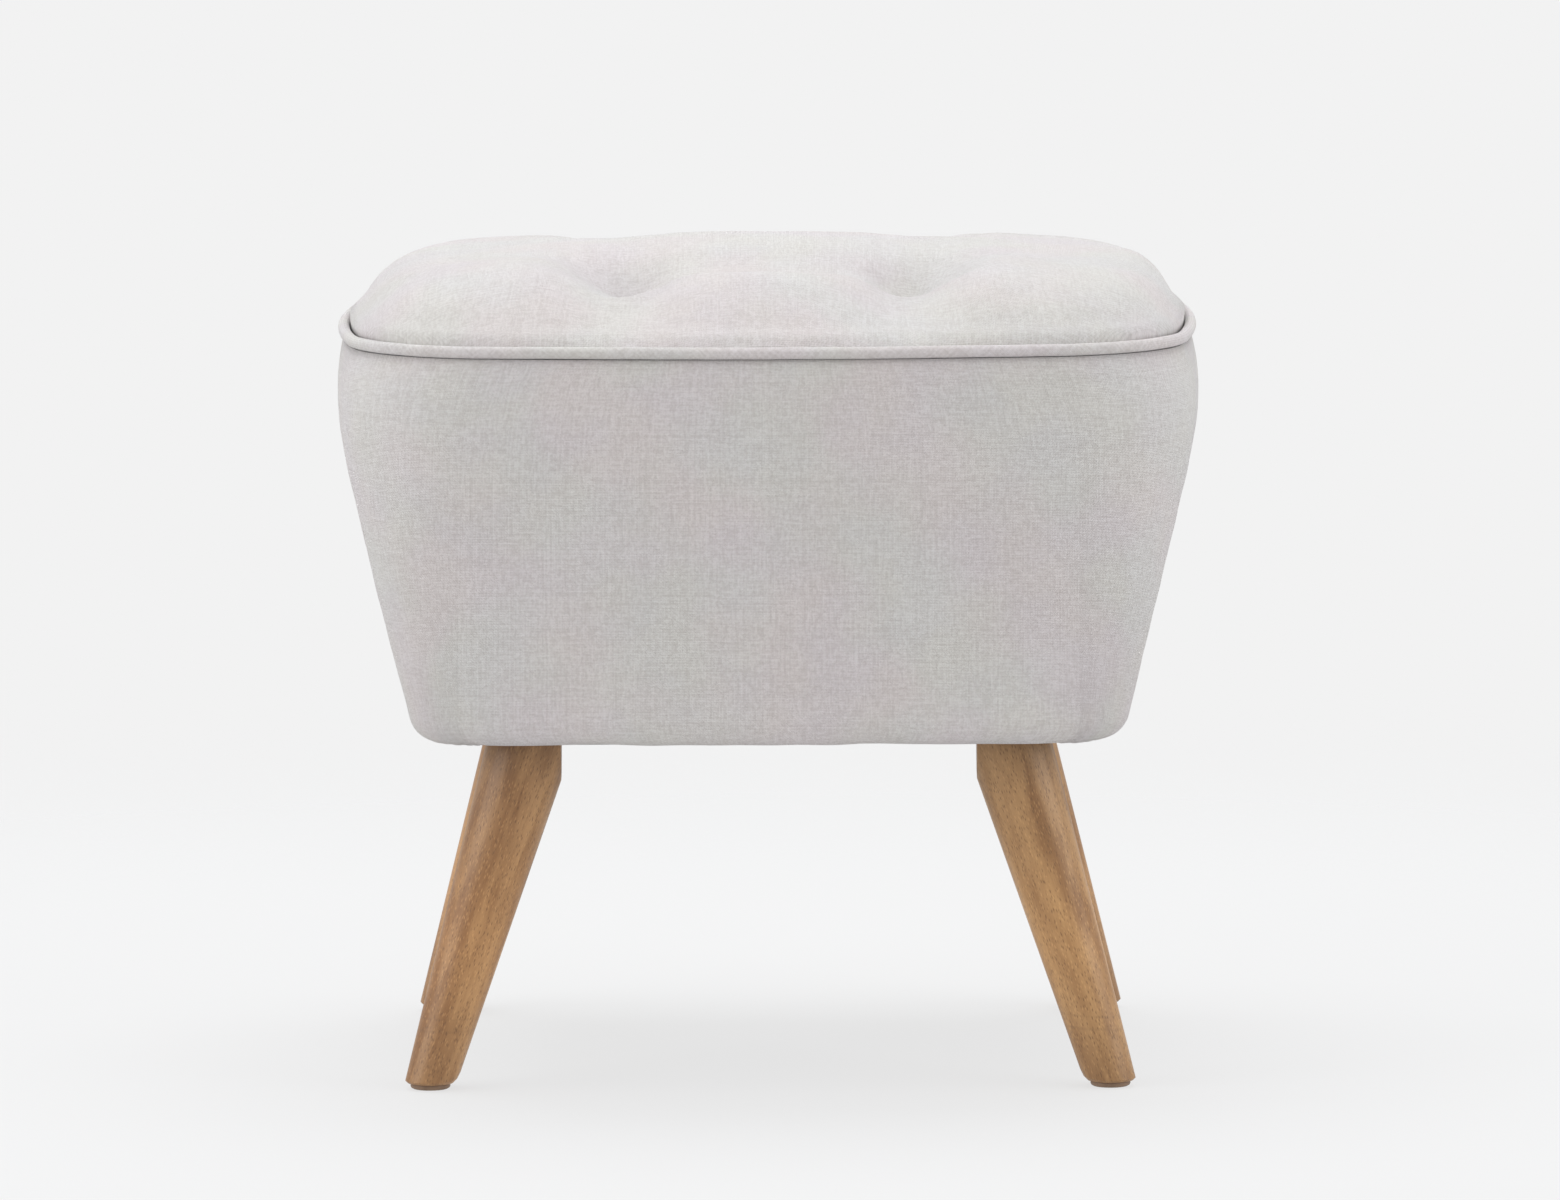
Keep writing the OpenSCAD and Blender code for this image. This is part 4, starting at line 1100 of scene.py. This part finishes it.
class OTTOMAN_OT_legs(bpy.types.Operator):
    """Turns the four splayed legs, with their flats and foot chamfers"""

    bl_idname = "ottoman.legs"
    bl_label = "Legs"

    def section(self, z, count, flat_count):
        """The leg's outline at height z: the points of an arc, then those of the flat."""
        g = sizes().legs
        lean = Vector((-math.tan(g.splay_x), -math.tan(g.splay_y), 1.0))
        axis = lean / lean.length
        side = axis.orthogonal().normalized()
        other = axis.cross(side)
        turn = np.linspace(0, math.tau, 721)[:-1]
        rim = np.outer(np.cos(turn), side) + np.outer(np.sin(turn), other)
        low, high = -0.03, 0.4
        radius = [g.foot / 2 + g.taper / 2 * d for d in (low, high)]
        start = np.array((g.foot_x, g.foot_y, 0.0))
        a = start + np.array(axis) * low + rim * radius[0]
        b = start + np.array(axis) * high + rim * radius[1]
        share = (z - a[:, 2]) / (b[:, 2] - a[:, 2])
        ring = (a + (b - a) * share[:, None])[:, :2]
        above = z - g.glide_h
        if above < g.chamfer * 3:
            centre = foot_centre(g)
            limit = g.foot / 2 - g.chamfer + above
            off = ring - centre
            far = np.linalg.norm(off, axis=1)
            ring = centre + off * np.minimum(1, limit / far)[:, None]
        middle = ring.mean(0)
        heading = np.unwrap(np.arctan2(ring[:, 1] - middle[1], ring[:, 0] - middle[0]))
        if heading[-1] < heading[0]:
            ring, heading = ring[::-1], heading[::-1]
        inner = np.argmin(ring[:, 0])
        ring = np.roll(ring, -inner, 0)
        ring = np.vstack([ring, ring[:1]])
        outside = ring[:, 0] > g.flat_x
        if outside.all():
            arc = ring
        else:
            first = np.argmax(outside)
            last = len(ring) - 1 - np.argmax(outside[::-1])
            entry = self.cut(ring[first - 1], ring[first])
            leave = self.cut(ring[last + 1], ring[last])
            arc = np.array([entry, *ring[first : last + 1], leave])
        run = run_of(arc)
        at = np.linspace(0, run[-1], count)
        points = np.stack([np.interp(at, run, arc[:, 0]), np.interp(at, run, arc[:, 1])], 1)
        chord = np.linspace(points[-1], points[0], flat_count + 2)[1:-1]
        return np.vstack([points, chord])

    def cut(self, inside, outside):
        flat_x = sizes().legs.flat_x
        share = (flat_x - inside[0]) / (outside[0] - inside[0])
        return inside + (outside - inside) * share

    def execute(self, context):
        s = sizes()
        g = s.legs
        flat_count = 12
        low = g.glide_h + g.chamfer * np.array([0, 0.25, 0.5, 0.75, 1, 1.3, 1.7, 2.2])
        heights = np.concatenate([low, np.linspace(low[-1], g.top_z, g.rings)[1:]])
        rings = np.array([at_height(self.section(z, g.sides, flat_count), z) for z in heights])
        count = rings.shape[1]
        lean = np.array((-math.tan(g.splay_x), -math.tan(g.splay_y), 1.0))
        points = rings.reshape(-1, 3)
        ends = [points[:count].mean(0), points[-count:].mean(0)]
        points = np.vstack([points, ends])
        faces = turned_faces(len(rings), count)
        shade = stained_wood("Stained wood", s.finishes.wood, s.finishes.wood_dark)
        for number, (sx, sy) in enumerate(CORNERS):
            place = points * (sx, sy, 1)
            turned = faces if sx * sy > 0 else [f[::-1] for f in faces]
            obj = add_mesh("Leg_" + PLACES[sx, sy], place, turned, rounded=False)
            # The points meet where the flat runs out, and the flat's edges stay crisp
            turn_outward(obj, join=0.00001)
            bpy.ops.object.shade_smooth_by_angle(angle=math.radians(28))
            axis = points_of(obj.data) * (sx, sy, 1)
            local = axis - np.array((g.foot_x, g.foot_y, 0)) - np.outer(axis[:, 2], lean)
            local[:, 2] = axis[:, 2]
            spin = np.array(Matrix.Rotation(0.9 + 1.7 * number, 3, "Z"))
            local = local @ spin.T + (0, 0, 0.37 * number)
            grain = obj.data.attributes.new("grain", "FLOAT_VECTOR", "POINT")
            grain.data.foreach_set("vector", local.ravel())
            paint(obj, shade)
            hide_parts("leg_" + PLACES[sx, sy])
            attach(obj, "root")
        return {"FINISHED"}


class OTTOMAN_OT_fittings(bpy.types.Operator):
    """Adds the glides under the feet and the staples, and paints the dust cover"""

    bl_idname = "ottoman.fittings"
    bl_label = "Glides, dust cover, staples"

    def glides(self):
        s = sizes()
        g = s.legs
        r, h = g.glide / 2, g.glide_h
        profile = [(r * 0.62, 0), (r * 0.86, 0.0003), (r * 0.96, 0.0009), (r, 0.0017)]
        profile += [(r, h - 0.0004), (r - 0.0003, h)]
        sides = 64
        turn = np.linspace(0, math.tau, sides, endpoint=False)
        circle = np.stack([np.cos(turn), np.sin(turn)], 1)
        rings = [at_height(x * circle, z) for x, z in profile]
        points = np.vstack([np.concatenate(rings), [(0, 0, 0), (0, 0, h)]])
        faces = turned_faces(len(rings), sides)
        shade = plastic("Glide plastic", s.finishes.glide)
        centre = foot_centre(g)
        first = None
        for sx, sy in CORNERS:
            if first is None:
                home = centre * (sx, sy)
                first = obj = add_mesh("Glide_" + PLACES[sx, sy], points + (*home, 0), faces)
            else:
                obj = link("Glide_" + PLACES[sx, sy], first.data.copy())
                place_points(obj, points_of(obj.data) + (*(centre * (sx, sy) - home), 0))
            only(obj)
            bpy.ops.object.shade_smooth_by_angle(angle=math.radians(40))
            paint(obj, shade)
            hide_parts("glide_" + PLACES[sx, sy])
            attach(obj, "root")

    def staples(self, line, z):
        """Staples round the dust cover's edge, slightly askew."""
        s = sizes()
        w = s.sewing
        wire, half = w.staple_wire / 2, w.staple_w / 2
        section = np.array([(-1, -0.7), (1, -0.7), (1, 0.7), (-1, 0.7)]) * wire
        leg, bend = 0.004, 0.0006
        path = [(-half, leg), (-half, bend), (-half + bend, 0)]
        path = np.array(path + [(-x, z) for x, z in reversed(path)])
        single = []
        for n, (px, pz) in enumerate(path):
            ahead = path[min(n + 1, 5)] - path[max(n - 1, 0)]
            ahead /= np.linalg.norm(ahead)
            for a, b in section:
                single.append((px - ahead[1] * b, a, pz + ahead[0] * b))
        single = np.array(single)
        single_faces = [tuple(f) for f in ring_faces(len(path), len(section))]
        single_faces += [(3, 2, 1, 0), (20, 21, 22, 23)]
        rng = np.random.default_rng(8)
        run = run_of(line)
        points, faces = [], []
        spots = np.arange(w.staple_pitch / 2, run[-1], w.staple_pitch)
        for at in spots:
            at += rng.uniform(-0.004, 0.004)
            x, nx = np.interp((at, at + 0.002), run, line[:, 0])
            y, ny = np.interp((at, at + 0.002), run, line[:, 1])
            turn = math.atan2(ny - y, nx - x) + rng.uniform(-0.25, 0.25)
            c, d = math.cos(turn), math.sin(turn)
            place = single @ np.array([[c, d, 0], [-d, c, 0], [0, 0, 1]]) + (x, y, z - wire * 0.7)
            faces += [tuple(i + len(points) * len(single) for i in f) for f in single_faces]
            points.append(place)
        obj = add_mesh("Staples", np.concatenate(points), faces, rounded=False)
        turn_outward(obj)
        paint(obj, metal("Staple steel", (0.62, 0.61, 0.60), 0.3))
        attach(obj, "root")

    def execute(self, context):
        s = sizes()
        self.glides()
        # The staples stand in a rounded line, inset from the dust cover's edge
        base = body_plan(s.body, s.body.base_z)
        inset, r = 0.006, 0.008
        w, d = (half - s.sewing.dust_in - inset for half in base[:2])
        arc = np.radians(np.linspace(0, 90, 7))
        line = []
        for n, (sx, sy) in enumerate(((1, 1), (-1, 1), (-1, -1), (1, -1))):
            turn = arc + n * math.pi / 2
            x, y = sx * (w - r) + r * np.cos(turn), sy * (d - r) + r * np.sin(turn)
            line.append(np.stack([x, y], 1))
        line = np.concatenate(line)
        line = np.vstack([line, line[:1]])
        self.staples(line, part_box("dust_cover")[0][2])
        paint(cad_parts["dust_cover"], nonwoven("Dust sheet"))
        return {"FINISHED"}


class OTTOMAN_OT_inside(bpy.types.Operator):
    """Gives the frame, filling and hardware inside their finishes"""

    bl_idname = "ottoman.inside"
    bl_label = "Inside finishes"

    def execute(self, context):
        s = sizes()
        pine, pine_dark = (0.62, 0.43, 0.24), (0.47, 0.29, 0.14)
        steel = metal("Zinc steel", (0.60, 0.60, 0.58), 0.32)
        finishes = {
            "seat_wadding": (wadding("Wadding", (0.86, 0.86, 0.84), (0.66, 0.66, 0.64)), "wadding"),
            "seat_foam": (foam("Cushion foam", (0.80, 0.72, 0.46), (0.58, 0.50, 0.28)), "foam"),
            "side_foam": (foam("Side foam", (0.78, 0.76, 0.70), (0.58, 0.56, 0.50)), "foam"),
            "piping_cord": (twine("Cotton cord", (0.78, 0.75, 0.68)), "twine"),
            "tuft_twines": (twine("Tufting twine", tuple(s.finishes.cloth_dark)), "twine"),
            "tuft_anchors": (plastic("Anchor plastic", (0.75, 0.75, 0.73)), "anchor_plastic"),
            "seat_deck": (plywood("Deck plywood", pine, pine_dark), "plywood"),
            "glide_pins": (metal("Pin steel", (0.55, 0.55, 0.54), 0.35), "steel"),
            "leg_inserts": (metal("Brass", (0.75, 0.55, 0.25), 0.3), "brass"),
        }
        board = plywood("Board plywood", pine, pine_dark)
        post = raw_wood("Post softwood", (0.70, 0.52, 0.30), (0.52, 0.34, 0.17), along="z")
        rail = raw_wood("Rail beech", (0.62, 0.42, 0.27), (0.48, 0.29, 0.17), along="y", scale=1.6)
        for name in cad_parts:
            if name.endswith("_panel"):
                finishes[name] = (board, "plywood")
            elif name.startswith("corner_post"):
                finishes[name] = (post, "softwood")
            elif name.startswith("leg_rail"):
                finishes[name] = (rail, "rail_wood")
            elif name in ("leg_bolts", "leg_washers") or name.endswith("_screws"):
                finishes[name] = (steel, "steel")
        for name, (material, slot) in finishes.items():
            paint(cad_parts[name], material)
        return {"FINISHED"}


class OTTOMAN_OT_stage(bpy.types.Operator):
    """Sets the floor, the studio light and the camera"""

    bl_idname = "ottoman.stage"
    bl_label = "Studio"

    def lamp(self, name, place, target, size, power, tint=(1, 1, 1)):
        data = bpy.data.lights.new(name, "AREA")
        data.shape = "RECTANGLE"
        data.size, data.size_y = size
        data.energy = power
        data.color = tint
        obj = link(name, data)
        obj.location = place
        obj.rotation_euler = (Vector(target) - Vector(place)).to_track_quat("-Z", "Y").to_euler()

    def execute(self, context):
        s = sizes()
        scene = context.scene
        bpy.ops.object.select_all(action="DESELECT")
        bpy.ops.mesh.primitive_plane_add(size=60)
        floor = context.active_object
        floor.name = "Floor"
        t = Tree("Floor")
        x, y, _ = t.split(t.place())
        far = (x * x + y * y) ** 0.5
        grit = t.noise(t.place(), 3.0, 2.0)
        ray = t.node("ShaderNodeLightPath", out="Is Camera Ray")
        t.surface(
            Base_Color=t.mixed(grit, (0.168,) * 3, (0.172,) * 3),
            Roughness=0.9,
            Specular_IOR_Level=0.1,
            Emission_Color=t.mixed(ray, (0.62,) * 3, (0.670,) * 3),
            Emission_Strength=1.0,
            Alpha=far.spread(0.7, 1.7, 1.0, 0.0),
        )
        floor.data.materials.append(t.material)
        world = bpy.data.worlds.new("Studio")
        scene.world = world
        world.use_nodes = True
        nodes, links = world.node_tree.nodes, world.node_tree.links
        back = nodes["Background"]
        back.inputs[0].default_value = (0.85, 0.86, 0.88, 1)
        back.inputs[1].default_value = 0.83
        seen = nodes.new("ShaderNodeBackground")
        seen.inputs[0].default_value = (*s.finishes.background, 1)
        path = nodes.new("ShaderNodeLightPath")
        mix = nodes.new("ShaderNodeMixShader")
        links.new(path.outputs["Is Camera Ray"], mix.inputs[0])
        links.new(back.outputs[0], mix.inputs[1])
        links.new(seen.outputs[0], mix.inputs[2])
        links.new(mix.outputs[0], nodes["World Output"].inputs[0])
        cool = (0.965, 0.985, 1.0)
        self.lamp("Top light", (-0.1, 0.55, 2.3), (0, 0, 0.4), (2.0, 1.2), 30.0, cool)
        self.lamp("Left light", (-2.4, -1.0, 1.1), (0, 0, 0.3), (2.2, 2.0), 29)
        self.lamp("Right light", (2.5, -0.9, 1.1), (0, 0, 0.3), (2.2, 2.0), 27)
        camera = bpy.data.cameras.new("Camera")
        view = link("Camera", camera)
        camera.lens = 291.4
        camera.sensor_width = 36.0
        camera.clip_end = 100
        view.location = (0.0064, -7.03, 1.047)
        tilt, roll = math.radians(90 - 6.4446), math.radians(-0.25)
        aim = Matrix.Rotation(tilt, 3, "X") @ Matrix.Rotation(roll, 3, "Z")
        view.rotation_euler = aim.to_euler()
        scene.camera = view
        scene.view_settings.view_transform = "Standard"
        return {"FINISHED"}


class Ottoman(bpy.types.PropertyGroup):
    """All sizes and colours of the ottoman."""

    body: PointerProperty(type=BodySizes)
    seat: PointerProperty(type=SeatSizes)
    sewing: PointerProperty(type=SewingSizes)
    legs: PointerProperty(type=LegSizes)
    finishes: PointerProperty(type=Finishes)


class OTTOMAN_PT_sidebar(bpy.types.Panel):
    """Sizes, colours and build steps"""

    bl_label = "Ottoman"
    bl_idname = "OTTOMAN_PT_sidebar"
    bl_space_type = "VIEW_3D"
    bl_region_type = "UI"
    bl_category = "Ottoman"

    def draw(self, context):
        s = context.scene.ottoman
        for part in ("body", "seat", "sewing", "legs", "finishes"):
            group = getattr(s, part)
            box = self.layout.box()
            box.label(text=part.capitalize())
            for name in group.__annotations__:
                box.prop(group, name)
        for step in STEPS:
            self.layout.operator("ottoman." + step)


STEPS = ("seat", "sides", "piping", "legs", "fittings", "inside", "stage")
CLASSES = (
    BodySizes,
    SeatSizes,
    SewingSizes,
    LegSizes,
    Finishes,
    Ottoman,
    OTTOMAN_OT_seat,
    OTTOMAN_OT_sides,
    OTTOMAN_OT_piping,
    OTTOMAN_OT_legs,
    OTTOMAN_OT_fittings,
    OTTOMAN_OT_inside,
    OTTOMAN_OT_stage,
    OTTOMAN_PT_sidebar,
)


def register():
    for cls in CLASSES:
        bpy.utils.register_class(cls)
    bpy.types.Scene.ottoman = PointerProperty(type=Ottoman)


def unregister():
    del bpy.types.Scene.ottoman
    for cls in reversed(CLASSES):
        bpy.utils.unregister_class(cls)


def main():
    register()
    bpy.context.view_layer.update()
    for step in STEPS:
        getattr(bpy.ops.ottoman, step)()


if __name__ == "__main__":
    main()
